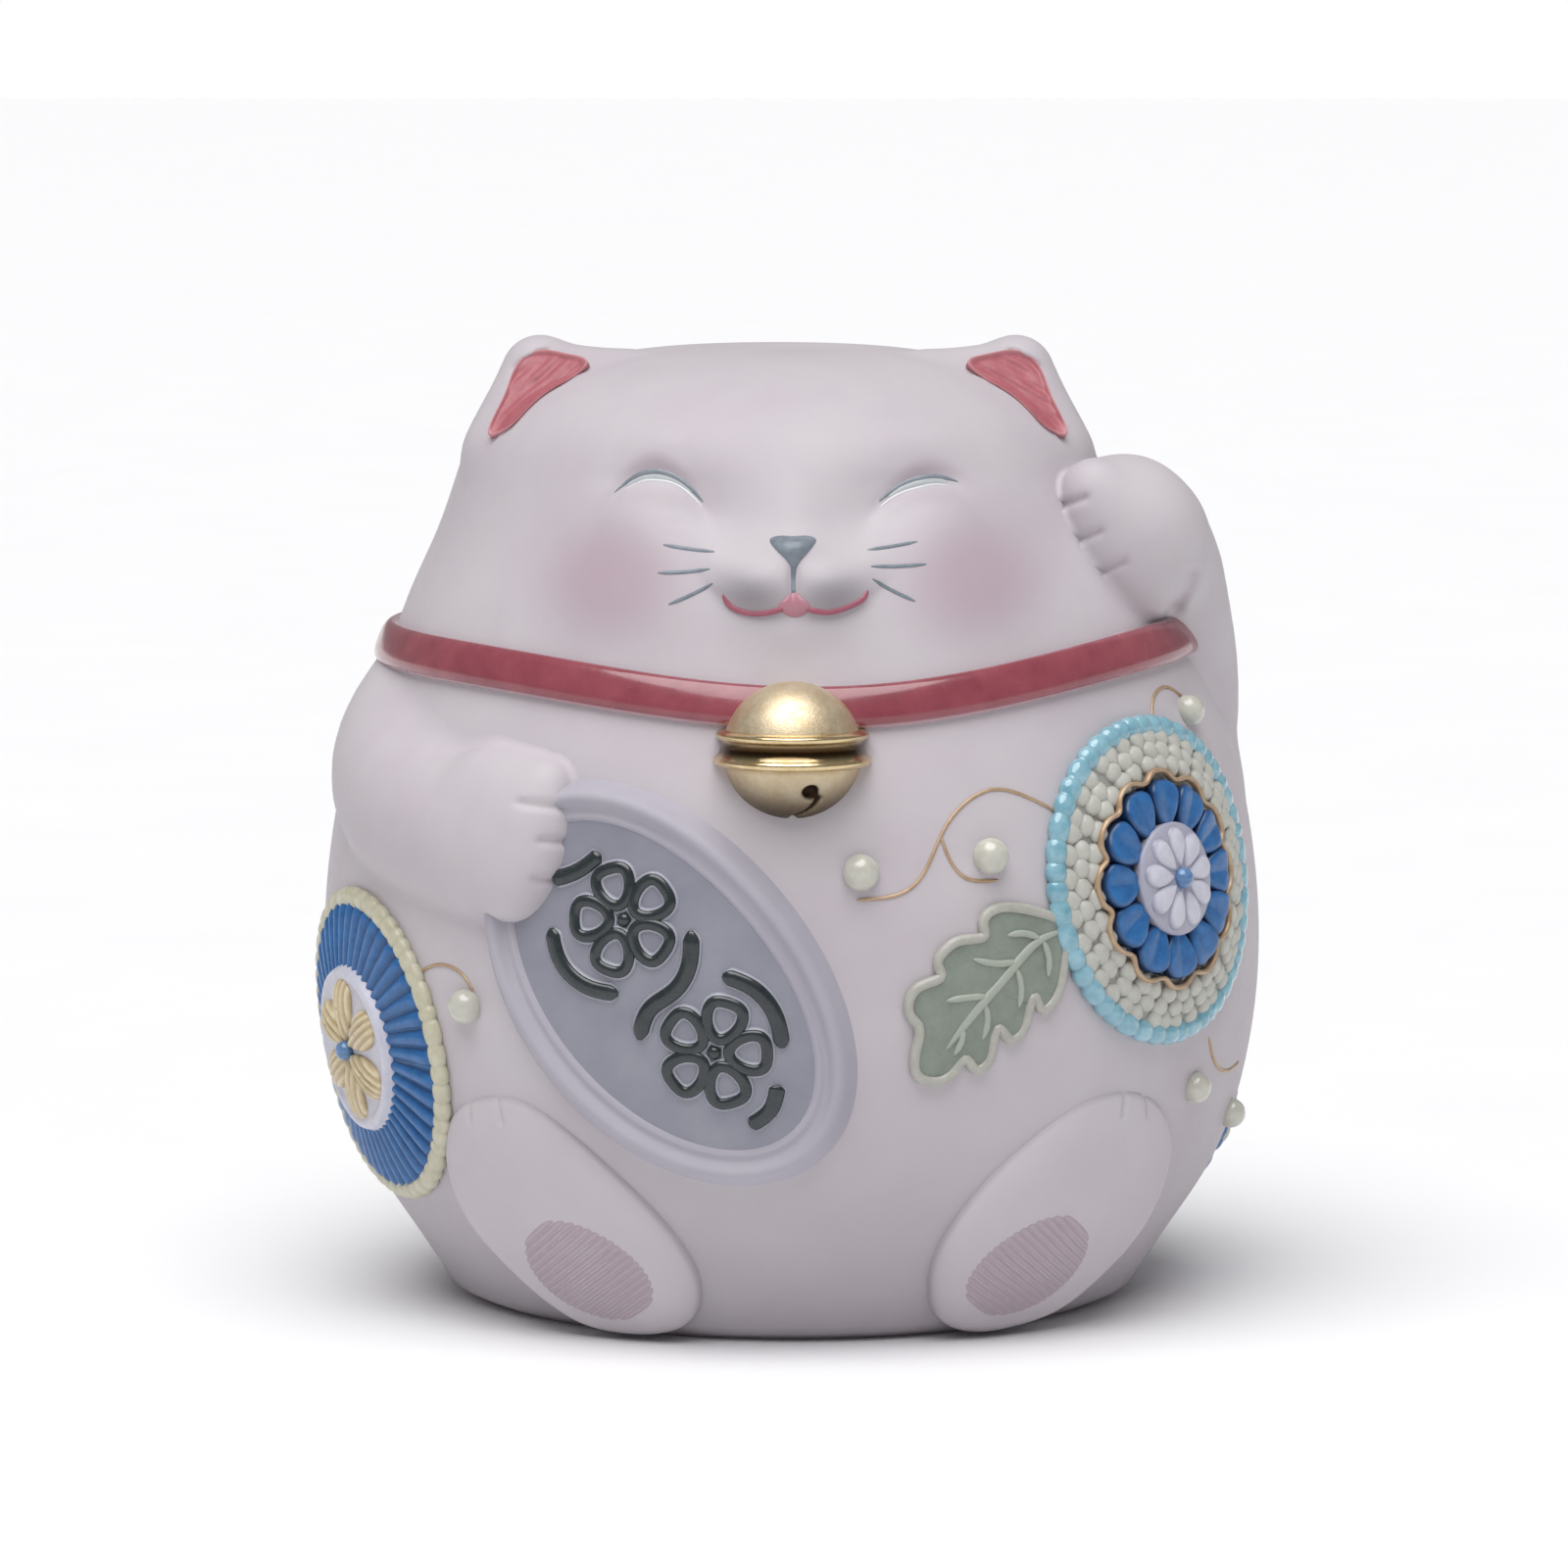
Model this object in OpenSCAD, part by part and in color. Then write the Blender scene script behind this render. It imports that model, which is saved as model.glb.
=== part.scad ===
// Round porcelain lucky cat: hollow body and head, one paw raised, an oval coin held in the other.
// Millimetres, +Z up, front towards -Y, origin at the centre of the base on the ground.
// "left" and "right" are the cat's own, so its raised left arm is on the +X side.

/* [Shells] */
// Wall thickness of the slip-cast shells
wall = 4; // [3:0.5:6]
// Radius of the vent hole in the base
vent_r = 4; // [2:0.5:6]
// Distance of the vent hole behind the centre of the base
vent_back = 24; // [15:1:35]

/* [Collar] */
// Height at which the collar's plane crosses the axis
collar_z = 116; // [114:0.5:118]
// Tilt of the collar in degrees, lower at the front
collar_tilt = 4.6; // [0:0.2:6]
// Radius of the collar's band, seen in section
collar_band_r = 2.7; // [2:0.1:3.5]

/* [Bell] */
// Radius of the bell's ball
bell_r = 11.7; // [9:0.1:13]
// How far the lip round the bell stands out from the ball
bell_lip = 1.9; // [1:0.1:3]

/* [Ears] */
// How far both ears lean over to the cat's right
ear_shift = -2.5; // [-4:0.5:0]

/* [Coin] */
// Half of the coin's long axis
coin_long = 38.5; // [32:0.5:42]
// Half of the coin's short axis
coin_short = 25; // [20:0.5:28]
// Width of the coin's raised rim
coin_rim_w = 5; // [3:0.5:7]
// Lean of the coin's long axis from the horizontal, in degrees
coin_lean = -47; // [-60:1:-30]

/* [Feet] */
// Half of a foot's long axis
foot_long = 30; // [24:0.5:32]
// Half of a foot's short axis
foot_short = 15; // [11:0.5:17]
// How far a foot stands out from the body
foot_relief = 2.4; // [1:0.1:4]

/* [Flowers] */
// Radius of the turquoise flower on the cat's left side
left_flower_r = 28.5; // [24:0.5:31]
// Radius of the pleated flowers
pleated_r = 28; // [24:0.5:31]
// Number of beads in a flower's rim
rim_beads = 36; // [24:1:44]
// Number of pleats in a pleated flower
pleats = 32; // [20:1:40]

/* [Trim] */
// Radius of a pearl
pearl_r = 3.1; // [2:0.1:4]
// Radius of a vine's line
vine_r = 0.5; // [0.3:0.1:0.8]

/* [Hidden] */
// Outline of body and head as [radius, height], from the foot ring to the crown
OUTLINE = [[60, 0], [68.5, 13], [75.5, 24], [80.5, 38], [83.5, 62], [82, 82], [77.5, 101],
           [72, 114.5], [67.5, 125.5], [62, 136], [58, 145], [53.5, 154], [45, 161.5],
           [31, 166.5], [14, 168.4], [0, 168.6]];
CURVE_STEPS = 6;
LAYER_STEP = 3;
crown_z = 168.6;
// How deep an applied piece is let into the body
sunk = 0.3;
// Azimuth and height of each applied piece; azimuth is 0 at the front and grows towards +X
COIN_AT = [-15.8, 64];
LEFT_FLOWER_AT = [51, 80];
RIGHT_FLOWER_AT = [-65, 48];
BACK_FLOWER_AT = [119, 62];
SMALL_FLOWER_AT = [99.5, 27];
LEAF_AT = [24, 62];
BACK_LEAF_AT = [205, 74];
FOOT_AT = [32, 20];
SOLE_AT = [30, 13];
// Corners of an ear and of its lining as [x, y, z, radius]
EAR = [[45, -3, 163.8, 5], [31, -3, 160.5, 5.5], [51.5, -7, 148, 5], [42, 9, 151, 7]];
EAR_LINING = [[44.5, -8.2, 164], [37, -8.6, 161.5], [50.5, -11.8, 152]];
// Centres of the limbs and the tail as [x, y, z, radius]
RAISED_ARM = [[66, 6, 92, 15], [65, 4, 108, 15], [63, -2, 122, 14.5], [61, -12, 132, 13.5],
              [58, -22, 137, 12]];
RIGHT_ARM = [[-59, -8, 104, 17], [-63, -24, 90, 16.5], [-54, -46, 86, 15.5],
             [-43, -59, 87.5, 13.5]];
TAIL = [[-6, 68, 14, 9], [8, 72, 15, 9], [20, 70, 22, 8], [25, 70, 32, 7]];
PEARLS = [[8, 83.5], [24, 85.5], [66.5, 106], [60.5, 40], [75, 33], [-42, 58],
          [168, 96], [196, 104], [228, 58], [242, 80]];
VINES = [[[32, 93], [29, 95.5], [25.5, 96.5], [21, 94], [17.5, 88], [13, 80], [7.5, 79]],
         [[18, 89], [19, 85], [21, 82], [25, 81.5]],
         [[55, 105.5], [57, 109], [62, 110.5], [66, 108]],
         [[61, 50], [64, 45], [69, 42.5], [75, 43]],
         [[-50, 63], [-46, 65], [-42.5, 64], [-40.5, 61]],
         [[143, 78], [152, 90], [164, 92], [176, 84], [190, 76]],
         [[166, 91], [176, 97], [188, 99], [196, 104]],
         [[214, 74], [226, 78], [236, 72], [242, 76]],
         [[222, 77], [224, 68], [228, 62]]];

// ---- curves and placing ----

function spline(a, b, c, d, t) =
    (2*b + (c - a)*t + (2*a - 5*b + 4*c - d)*t*t + (3*b - a - 3*c + d)*t*t*t) / 2;

// A smooth line through the points, with the given number of steps between two of them
function smooth(p, steps) = let (n = len(p) - 1) concat(
    [for (i = [0:n-1], k = [0:steps-1])
        spline(i > 0 ? p[i-1] : 2*p[0] - p[1], p[i], p[i+1],
               i < n-1 ? p[i+2] : 2*p[n] - p[n-1], k/steps)],
    [p[n]]);

RADII = [for (p = smooth(OUTLINE, CURVE_STEPS)) [p[1], p[0]]];
function radius_at(z) = lookup(z, RADII);
function slope_at(z) = atan((radius_at(z - 1.5) - radius_at(z + 1.5)) / 3);

// Outline between two heights, moved out from the surface by h
function skin(z0, z1, h) = [for (z = [z0:LAYER_STEP:z1])
    [radius_at(z) + h*cos(slope_at(z)), z + h*sin(slope_at(z))]];

function reversed(p) = [for (i = [len(p)-1:-1:0]) p[i]];
function ellipse(a, b, n) = [for (i = [0:n-1]) [a*cos(i*360/n), b*sin(i*360/n)]];
function surface_point(at, h) =
    let (r = radius_at(at[1]) + h) [r*sin(at[0]), -r*cos(at[0]), at[1]];
// Azimuth and height of a point that lies u sideways and v up along the surface from "at"
function along(at, u, v) =
    let (z = at[1] + v*cos(slope_at(at[1] + v/2)))
    [at[0] + u / radius_at((at[1] + z)/2) * 180/PI, z];

// Children are moved onto the surface, with their Z along its outward normal
module on_body(at, spin = 0)
    translate(surface_point(at, 0))
        rotate([90 - slope_at(at[1]), 0, at[0]])
            rotate([0, 0, spin]) children();

// Part of a skin that follows the body from h0 to h1 above its surface
module layer(at, reach, h0, h1) {
    low = max(0.8, at[1] - reach);
    high = min(crown_z - 8, at[1] + reach);
    half_angle = reach / radius_at(at[1]) * 64;
    rotate([0, 0, at[0] - 90 - half_angle])
        rotate_extrude(angle = 2*half_angle, $fn = 96)
            polygon(concat(skin(low, high, h1), reversed(skin(low, high, h0))));
}

// A curved plate with the outline of the 2D children
module plate(at, reach, h0, h1, spin = 0)
    intersection() {
        layer(at, reach, h0, h1);
        on_body(at, spin) translate([0, 0, -14]) linear_extrude(30) children();
    }

// Balls of radius r in a ring round "at", each sunk to the depth given
module bead_ring(at, ring_r, count, r, sunk, turn = 0)
    for (i = [0:count-1])
        let (a = (i + turn)*360/count)
            translate(surface_point(along(at, ring_r*cos(a), ring_r*sin(a)), -sunk))
                sphere(r, $fn = 24);

// Balls of [x, y, z, radius] joined one to the next
module chain(points)
    for (i = [0:len(points)-2])
        hull() for (p = [points[i], points[i+1]])
            translate([p[0], p[1], p[2]]) sphere(p[3], $fn = 32);

// A rounded line through points given as [azimuth, height]
module line_on_body(at_points, r)
    for (i = [0:len(at_points)-2])
        hull() for (p = [at_points[i], at_points[i+1]])
            translate(surface_point(p, 0)) sphere(r, $fn = 8);

module petal(inner, outer, w)
    polygon(smooth([[inner, 0], [inner + (outer-inner)*0.35, w*0.75],
                    [inner + (outer-inner)*0.75, w], [outer, 0],
                    [inner + (outer-inner)*0.75, -w],
                    [inner + (outer-inner)*0.35, -w*0.75], [inner, 0]], 3));

module petals_2d(count, inner, outer, w, turn = 0)
    for (i = [0:count-1]) rotate((i + turn)*360/count) petal(inner, outer, w);

module above_collar()
    translate([0, 0, collar_z]) rotate([collar_tilt, 0, 0])
        translate([-120, -120, 0]) cube(240);

// The whole outline as one solid, used to trim the pieces that are luted onto it
module full_form()
    rotate_extrude($fn = 96)
        polygon(concat([[0, 0]], skin(0, 166.5, 0), [[0, crown_z]]));

// ---- shells ----

module body_shell() color("thistle")
    difference() {
        rotate_extrude($fn = 128)
            polygon(concat([[0, 0]], skin(0, 129, 0), reversed(skin(6, 129, -wall)), [[0, wall]]));
        above_collar();
        translate([0, vent_back, -1]) cylinder(h = wall + 2, r = vent_r, $fn = 48);
    }

module head_shell() color("thistle")
    intersection() {
        rotate_extrude($fn = 128)
            polygon(concat(skin(105, 166.5, 0), [[0, crown_z]],
                           [[0, crown_z - wall]], reversed(skin(105, 162, -wall))));
        above_collar();
    }

// ---- head ----

module ear(side) color("thistle")
    difference() {
        hull() for (p = EAR)
            translate([side*p[0] + ear_shift, p[1], p[2]]) sphere(p[3], $fn = 24);
        full_form();
    }

// Pink triangle let into the front of an ear
module ear_lining(side) color("palevioletred")
    hull() for (p = EAR_LINING)
        translate([side*p[0] + ear_shift, p[1], p[2]]) sphere(0.8, $fn = 12);

EYE_ARC = [[-30, 145.5], [-27, 148.3], [-22.5, 149.4], [-18, 147.6], [-15, 145]];
module eyelid(side) color("gray")
    line_on_body(smooth([for (p = EYE_ARC) [-side*p[0], p[1]]], 2), 0.7);

module nose() color("lightslategray")
    hull() for (p = [[-3.6, 137.8], [3.6, 137.8], [0, 133]])
        translate(surface_point(p, 1.2)) sphere(1.5, $fn = 20);

module mouth_line() color("palevioletred")
    line_on_body(smooth([[-10, 128.7], [-7, 126.4], [-3, 126.2], [0, 128.2],
                         [3, 126.2], [7, 126.4], [10, 128.7]], 3), 0.7);

module tongue() color("pink")
    on_body([0, 126.6]) translate([0, 0, -0.5]) cylinder(h = 2, r1 = 3, r2 = 2, $fn = 32);

WHISKERS = [[[20, 136.8], [12, 136]], [[20.5, 132.6], [12, 133.2]], [[18, 127.2], [11.6, 131]]];
module whiskers() color("gray")
    for (side = [-1, 1], w = WHISKERS)
        line_on_body([for (t = [0:0.25:1])
            [side*(w[0][0]*(1-t) + w[1][0]*t), w[0][1]*(1-t) + w[1][1]*t]], 0.4);

// ---- arms, feet and tail ----

// A limb or tail, trimmed where it meets the body
module luted(points) color("thistle")
    difference() {
        chain(points);
        full_form();
    }

module foot(side) color("thistle")
    plate([side*FOOT_AT[0], FOOT_AT[1]], 36, -sunk, foot_relief, side*54)
        polygon(ellipse(foot_long, foot_short, 36));

module sole_pad(side) color("lightpink")
    plate([side*SOLE_AT[0], SOLE_AT[1]], 18, foot_relief, foot_relief + 0.6, side*40)
        for (i = [-5:5]) translate([0, 1.55*i])
            square([2*sqrt(11.5*11.5 - pow(1.9*i, 2)) , 1], center = true);

// ---- coin ----

module coin_rim() color("thistle")
    plate(COIN_AT, 44, -sunk, 2.6, coin_lean) difference() {
        polygon(ellipse(coin_long, coin_short, 48));
        polygon(ellipse(coin_long - coin_rim_w, coin_short - coin_rim_w, 48));
    }

module coin_field() color("lightsteelblue")
    plate(COIN_AT, 40, -sunk, 0.9, coin_lean)
        polygon(ellipse(coin_long - coin_rim_w, coin_short - coin_rim_w, 48));

// Two open blossoms on a bent twig
module coin_ornament() color("darkslategray")
    plate(COIN_AT, 34, 0.9, 2.2, coin_lean) {
        for (x = [-13, 13]) translate([x, 0]) blossom_2d(8.5);
        translate([-2.2, -1.1]) square([4.4, 2.2]);
    }

module blossom_2d(r) {
    for (a = [0:72:288]) rotate(a) translate([r*0.56, 0]) difference() {
        circle(r*0.42, $fn = 24);
        circle(r*0.20, $fn = 24);
    }
    circle(r*0.20, $fn = 24);
}

// ---- collar and bell ----

module collar() color("indianred")
    translate([0, -2.2, collar_z]) rotate([collar_tilt, 0, 0])
        rotate_extrude($fn = 128) translate([70.8, 0]) circle(collar_band_r, $fn = 32);

BELL_AT = [0, -76, 103.5];
module bell_ball() color("darkkhaki")
    translate(BELL_AT) difference() {
        sphere(bell_r, $fn = 64);
        rotate([20, 0, 18]) rotate([90, 0, 0]) translate([0, 0, bell_r - 2]) cylinder(h = 4, r = 1.4);
        rotate([40, 0, 8]) translate([-0.5, -bell_r - 1, -3]) cube([1, 4, 6]);
    }

module bell_band() color("gold")
    translate(BELL_AT) rotate_extrude($fn = 96) difference() {
        translate([bell_r + bell_lip - 1.8, 0]) circle(1.8, $fn = 32);
        square([2*(bell_r - 1), 6], center = true);
    }

// ---- turquoise flower on the left side ----

module left_flower_rim() color("mediumturquoise")
    bead_ring(LEFT_FLOWER_AT, left_flower_r - 2, rim_beads, 2.1, 0.1);

module left_flower_scales() color("antiquewhite")
    for (row = [0:1])
        bead_ring(LEFT_FLOWER_AT, left_flower_r - 5.6 - 2.8*row, rim_beads - 4*row, 1.3, -0.4, row/2);

module left_flower_ring() color("goldenrod")
    plate(LEFT_FLOWER_AT, 24, -sunk, 1.4) difference() {
        circle(18.5, $fn = 64);
        circle(17.5, $fn = 64);
    }

module left_flower_petals() color("royalblue") {
    plate(LEFT_FLOWER_AT, 22, -sunk, 1.8) petals_2d(12, 9, 16.8, 2.2);
    plate(LEFT_FLOWER_AT, 20, 1.8, 2.9) petals_2d(12, 8, 13.5, 1.9, 0.5);
}

module left_flower_centre() color("lavender")
    on_body(LEFT_FLOWER_AT) translate([0, 0, -1]) cylinder(h = 4.2, r1 = 9.6, r2 = 8.2, $fn = 64);

module left_flower_centre_petals() color("white")
    on_body(LEFT_FLOWER_AT) translate([0, 0, 3.2]) linear_extrude(1) petals_2d(10, 2.6, 8, 1.1);

module left_flower_bead() color("steelblue")
    on_body(LEFT_FLOWER_AT) translate([0, 0, 3.2]) sphere(2, $fn = 32);

// ---- pleated flowers ----

module pleated_rim(at) color("cornsilk")
    bead_ring(at, pleated_r - 1.6, rim_beads, 2, 0.1);

module pleated_ring(at) color("steelblue")
    plate(at, 32, -sunk, 1.8) difference() {
        for (i = [0:pleats-1]) rotate(i*360/pleats)
            polygon([[14, -1.1], [25, -2], [25.8, 0], [25, 2], [14, 1.1]]);
        circle(15.2, $fn = 64);
    }

module flower_disc(at) color("ghostwhite")
    plate(at, 22, -sunk, 2.2) circle(14.8, $fn = 64);

module cream_petals(at) color("khaki")
    plate(at, 20, 2.2, 3.6) petals_2d(6, 3, 13, 4.2);

module flower_bead(at) color("steelblue")
    on_body(at) translate([0, 0, 2.8]) sphere(2.4, $fn = 32);

module small_flower_petals() color("royalblue")
    plate(SMALL_FLOWER_AT, 16, -sunk, 1.8) petals_2d(10, 2, 12, 2.3);

module small_flower_bead() color("cornsilk")
    on_body(SMALL_FLOWER_AT) translate([0, 0, 1.4]) sphere(2.6, $fn = 32);

// ---- leaves, pearls and vines ----

// Lobed leaf, 35 long, with its stalk end at the right
LEAF_EDGE = [[17, 0], [13, 4.5], [9, 4], [6, 8.5], [0, 7], [-3, 9], [-8, 6.5], [-11, 7],
             [-15, 3], [-18, 0]];
module leaf_2d()
    polygon(concat(LEAF_EDGE, [for (p = reversed(LEAF_EDGE)) [p[0], -p[1]]]));

module leaf() color("darkseagreen")
    plate(LEAF_AT, 24, -sunk, 1.2, 40) leaf_2d();

module leaf_veins() color("honeydew")
    plate(LEAF_AT, 22, 1.2, 1.9, 40) {
        translate([-14, -0.5]) square([29, 1]);
        for (x = [-9, -2, 5], s = [-1, 1])
            translate([x, 0]) rotate(s*138) translate([0, -0.4]) square([6.5, 0.8]);
    }

module back_leaf() color("darkseagreen")
    plate(BACK_LEAF_AT, 24, -sunk, 1.2, 160) leaf_2d();

module pearls() color("ivory")
    for (p = PEARLS) translate(surface_point(p, 0.2)) sphere(pearl_r, $fn = 32);

module vines() color("peru")
    for (v = VINES) line_on_body(smooth(v, 3), vine_r);

body_shell();
head_shell();
ear(1);  // ear_left
ear(-1);  // ear_right
ear_lining(1);  // ear_lining_left
ear_lining(-1);  // ear_lining_right
eyelid(1);  // eyelid_left
eyelid(-1);  // eyelid_right
nose();
mouth_line();
tongue();
whiskers();
luted(RAISED_ARM);  // raised_left_arm
luted(RIGHT_ARM);  // right_arm
coin_rim();
coin_field();
coin_ornament();
collar();
bell_ball();
bell_band();
foot(1);  // foot_left
foot(-1);  // foot_right
sole_pad(1);  // sole_pad_left
sole_pad(-1);  // sole_pad_right
luted(TAIL);  // tail
left_flower_rim();
left_flower_scales();
left_flower_ring();
left_flower_petals();
left_flower_centre();
left_flower_centre_petals();
left_flower_bead();
pleated_rim(RIGHT_FLOWER_AT);  // right_flower_rim
pleated_ring(RIGHT_FLOWER_AT);  // right_flower_pleats
flower_disc(RIGHT_FLOWER_AT);  // right_flower_disc
cream_petals(RIGHT_FLOWER_AT);  // right_flower_petals
flower_bead(RIGHT_FLOWER_AT);  // right_flower_bead
pleated_rim(BACK_FLOWER_AT);  // back_flower_rim
pleated_ring(BACK_FLOWER_AT);  // back_flower_pleats
flower_disc(BACK_FLOWER_AT);  // back_flower_disc
cream_petals(BACK_FLOWER_AT);  // back_flower_petals
flower_bead(BACK_FLOWER_AT);  // back_flower_bead
small_flower_petals();
small_flower_bead();
leaf();
leaf_veins();
back_leaf();
pearls();
vines();
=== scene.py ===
"""Porcelain lucky cat: the visual model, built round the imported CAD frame.

Shapes are worked out in millimetres in the CAD frame (+Z up, face towards -Y, +X is the cat's own
left) and written to Blender in metres. Applied pieces are drawn flat, as (a, b) on the last axis
with a height h, and laid on the body's surface by lay_on(). Arms, ears, tail and bell are drawn as
distance fields of points p, with (x, y, z) on the last axis.
"""

import bpy
import numpy as np
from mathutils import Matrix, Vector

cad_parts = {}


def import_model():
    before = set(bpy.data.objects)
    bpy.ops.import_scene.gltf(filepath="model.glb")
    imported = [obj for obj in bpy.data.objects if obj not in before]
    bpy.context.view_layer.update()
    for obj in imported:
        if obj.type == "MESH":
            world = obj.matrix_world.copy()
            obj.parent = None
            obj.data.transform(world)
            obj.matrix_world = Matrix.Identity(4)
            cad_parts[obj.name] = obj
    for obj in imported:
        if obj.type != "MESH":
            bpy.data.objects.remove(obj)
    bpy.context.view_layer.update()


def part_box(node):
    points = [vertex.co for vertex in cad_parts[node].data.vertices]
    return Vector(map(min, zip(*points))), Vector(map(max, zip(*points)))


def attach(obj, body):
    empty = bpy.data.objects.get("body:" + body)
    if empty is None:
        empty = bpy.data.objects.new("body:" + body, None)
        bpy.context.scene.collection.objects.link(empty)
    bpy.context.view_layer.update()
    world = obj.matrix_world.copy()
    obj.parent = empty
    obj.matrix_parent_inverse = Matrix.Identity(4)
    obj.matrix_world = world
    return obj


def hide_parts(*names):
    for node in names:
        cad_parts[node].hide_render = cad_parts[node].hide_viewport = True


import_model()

MM = 0.001
TAU = 2 * np.pi


def placed(name, data):
    """New object in the scene."""
    made = bpy.data.objects.new(name, data)
    bpy.context.scene.collection.objects.link(made)
    return made


def node_centre(node):
    """Middle of a CAD node's box, in millimetres."""
    return np.mean(np.array(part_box(node)), 0) / MM


def place_of(node):
    """Azimuth in degrees (0 at the front, growing towards +X) and height of a CAD node."""
    x, y, z = node_centre(node)
    return np.degrees(np.arctan2(x, -y)), z


# ---------------- curves

def natural_spline(t, values, at):
    """Smooth curve through values (one row for each t), read at the places in at."""
    t, values = np.asarray(t, float), np.asarray(values, float)
    count, step = len(t), np.diff(t)
    matrix, right = np.eye(count), np.zeros_like(values)
    for i in range(1, count - 1):
        matrix[i, i - 1:i + 2] = step[i - 1], 2 * (step[i - 1] + step[i]), step[i]
        right[i] = 6 * ((values[i + 1] - values[i]) / step[i] - (values[i] - values[i - 1]) / step[i - 1])
    bend = np.linalg.solve(matrix, right)
    i = np.clip(np.searchsorted(t, at) - 1, 0, count - 2)
    width = step[i][:, None]
    u = ((at - t[i])[:, None]) / width
    v = 1 - u
    return (v * values[i] + u * values[i + 1]
            + ((v ** 3 - v) * bend[i] + (u ** 3 - u) * bend[i + 1]) * width ** 2 / 6)


def smooth_line(points, count, closed=False):
    """Points spread evenly along a smooth line through the given ones."""
    points = np.asarray(points, float)
    if closed:
        points = np.vstack([points, points, points, points[:1]])
    t = np.concatenate([[0], np.cumsum(np.linalg.norm(np.diff(points, axis=0), axis=1))])
    first, last = (t[-1] / 3, 2 * t[-1] / 3) if closed else (0, t[-1])
    fine = natural_spline(t, points, np.linspace(first, last, 40 * count))
    walked = np.concatenate([[0], np.cumsum(np.linalg.norm(np.diff(fine, axis=0), axis=1))])
    want = np.linspace(0, walked[-1], count + 1 if closed else count)
    line = np.stack([np.interp(want, walked, fine[:, k]) for k in range(points.shape[1])], 1)
    return line[:-1] if closed else line


def step_up(x, width):
    """Smooth step from 0 to 1 round x = 0."""
    return 1 / (1 + np.exp(-np.clip(x / width, -40, 40)))


def hill(x, z, x0, z0, wide, high):
    return np.exp(-((x - x0) / wide) ** 2 - ((z - z0) / high) ** 2)


def ease(x):
    x = np.clip(x, 0, 1)
    return x * x * (3 - 2 * x)


def turned(a, b, degrees):
    """Flat coordinates turned anticlockwise."""
    c, s = np.cos(np.radians(degrees)), np.sin(np.radians(degrees))
    return a * c - b * s, a * s + b * c


def polar(radius, angle):
    return np.stack([radius * np.cos(angle), radius * np.sin(angle)], -1)


def shares(rings, first=0.05):
    """Shares of the way from a pad's middle to its edge, closer together near the edge."""
    return np.sin(np.linspace(first, 1, rings) * np.pi / 2)


# ---------------- the body's form

OUTLINE = [(60, 0), (68.5, 13), (75.5, 24), (80.5, 38), (83.5, 62), (82, 82), (77.5, 101),
           (72, 114.5), (67.5, 125.5), (62, 136), (58, 145), (53.5, 154), (45, 161.5),
           (31, 166.5), (14, 168.4), (0, 168.6)]
COLLAR_Z = 117.2
COLLAR_SAG = 7.0
HEAD_LEAN = -2.8
WALL = 4.0

profile = smooth_line(OUTLINE + [(-r, z) for r, z in OUTLINE[-2:-6:-1]], 2400)
profile = profile[:np.argmax(profile[:, 0] <= 0) + 1]
profile[-1, 0] = 0
PR, PZ = profile.T
PS = np.concatenate([[0], np.cumsum(np.hypot(np.diff(PR), np.diff(PZ)))])
NR, NZ = np.gradient(PZ, PS), -np.gradient(PR, PS)


def s_of(z):
    """Distance walked up the outline to height z."""
    return np.interp(z, PZ, PS)


def radius_at(z):
    return np.interp(z, PZ, PR)


def lean(z):
    """The head leans a little to the cat's right above the collar."""
    return HEAD_LEAN * ease((z - COLLAR_Z) / 46)


def on_form(az, s, h):
    """Point at azimuth az (degrees) and walk s, raised h above the smooth form."""
    az, s = np.radians(az), np.asarray(s, float)
    r = np.interp(s, PS, PR) + h * np.interp(s, PS, NR)
    z = np.interp(s, PS, PZ)
    return np.stack([r * np.sin(az) + lean(z), -r * np.cos(az), z + h * np.interp(s, PS, NZ)], -1)


def lay_on(place, flat, h, turn=0.0):
    """Lay flat points on the body round place (azimuth, height), turned by degrees and raised h."""
    a, b = turned(flat[..., 0], flat[..., 1], turn)
    walk = s_of(place[1]) + b
    r = np.maximum(np.interp(walk, PS, PR), 5)
    return on_form(place[0] + np.degrees(a / r), walk, h)


def on_patch(place, turn=0.0):
    """The body round place as a surface(flat, h)."""
    return lambda flat, h: lay_on(place, flat, h, turn)


def by_azimuth(line, h):
    """The body as a surface for lines given as (azimuth, height)."""
    return on_form(line[:, 0], s_of(line[:, 1]), h)


def flat_from(place, points):
    """Flat points round place from points given as (azimuth, height)."""
    p = np.array(points, float)
    a = np.radians(p[..., 0] - place[0]) * radius_at(p[..., 1])
    return np.stack([a, s_of(p[..., 1]) - s_of(place[1])], -1)


def seam_walk(az):
    """Walk of the joint under the collar, which the bell pulls down a little at the front."""
    turn = (np.asarray(az, float) + 180) % 360 - 180
    dip = COLLAR_SAG * np.exp(-((turn - 5) / 38) ** 2)
    return s_of(COLLAR_Z + 1.2 * np.sin(np.radians(turn)) - dip)


# ---------------- meshes

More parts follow.
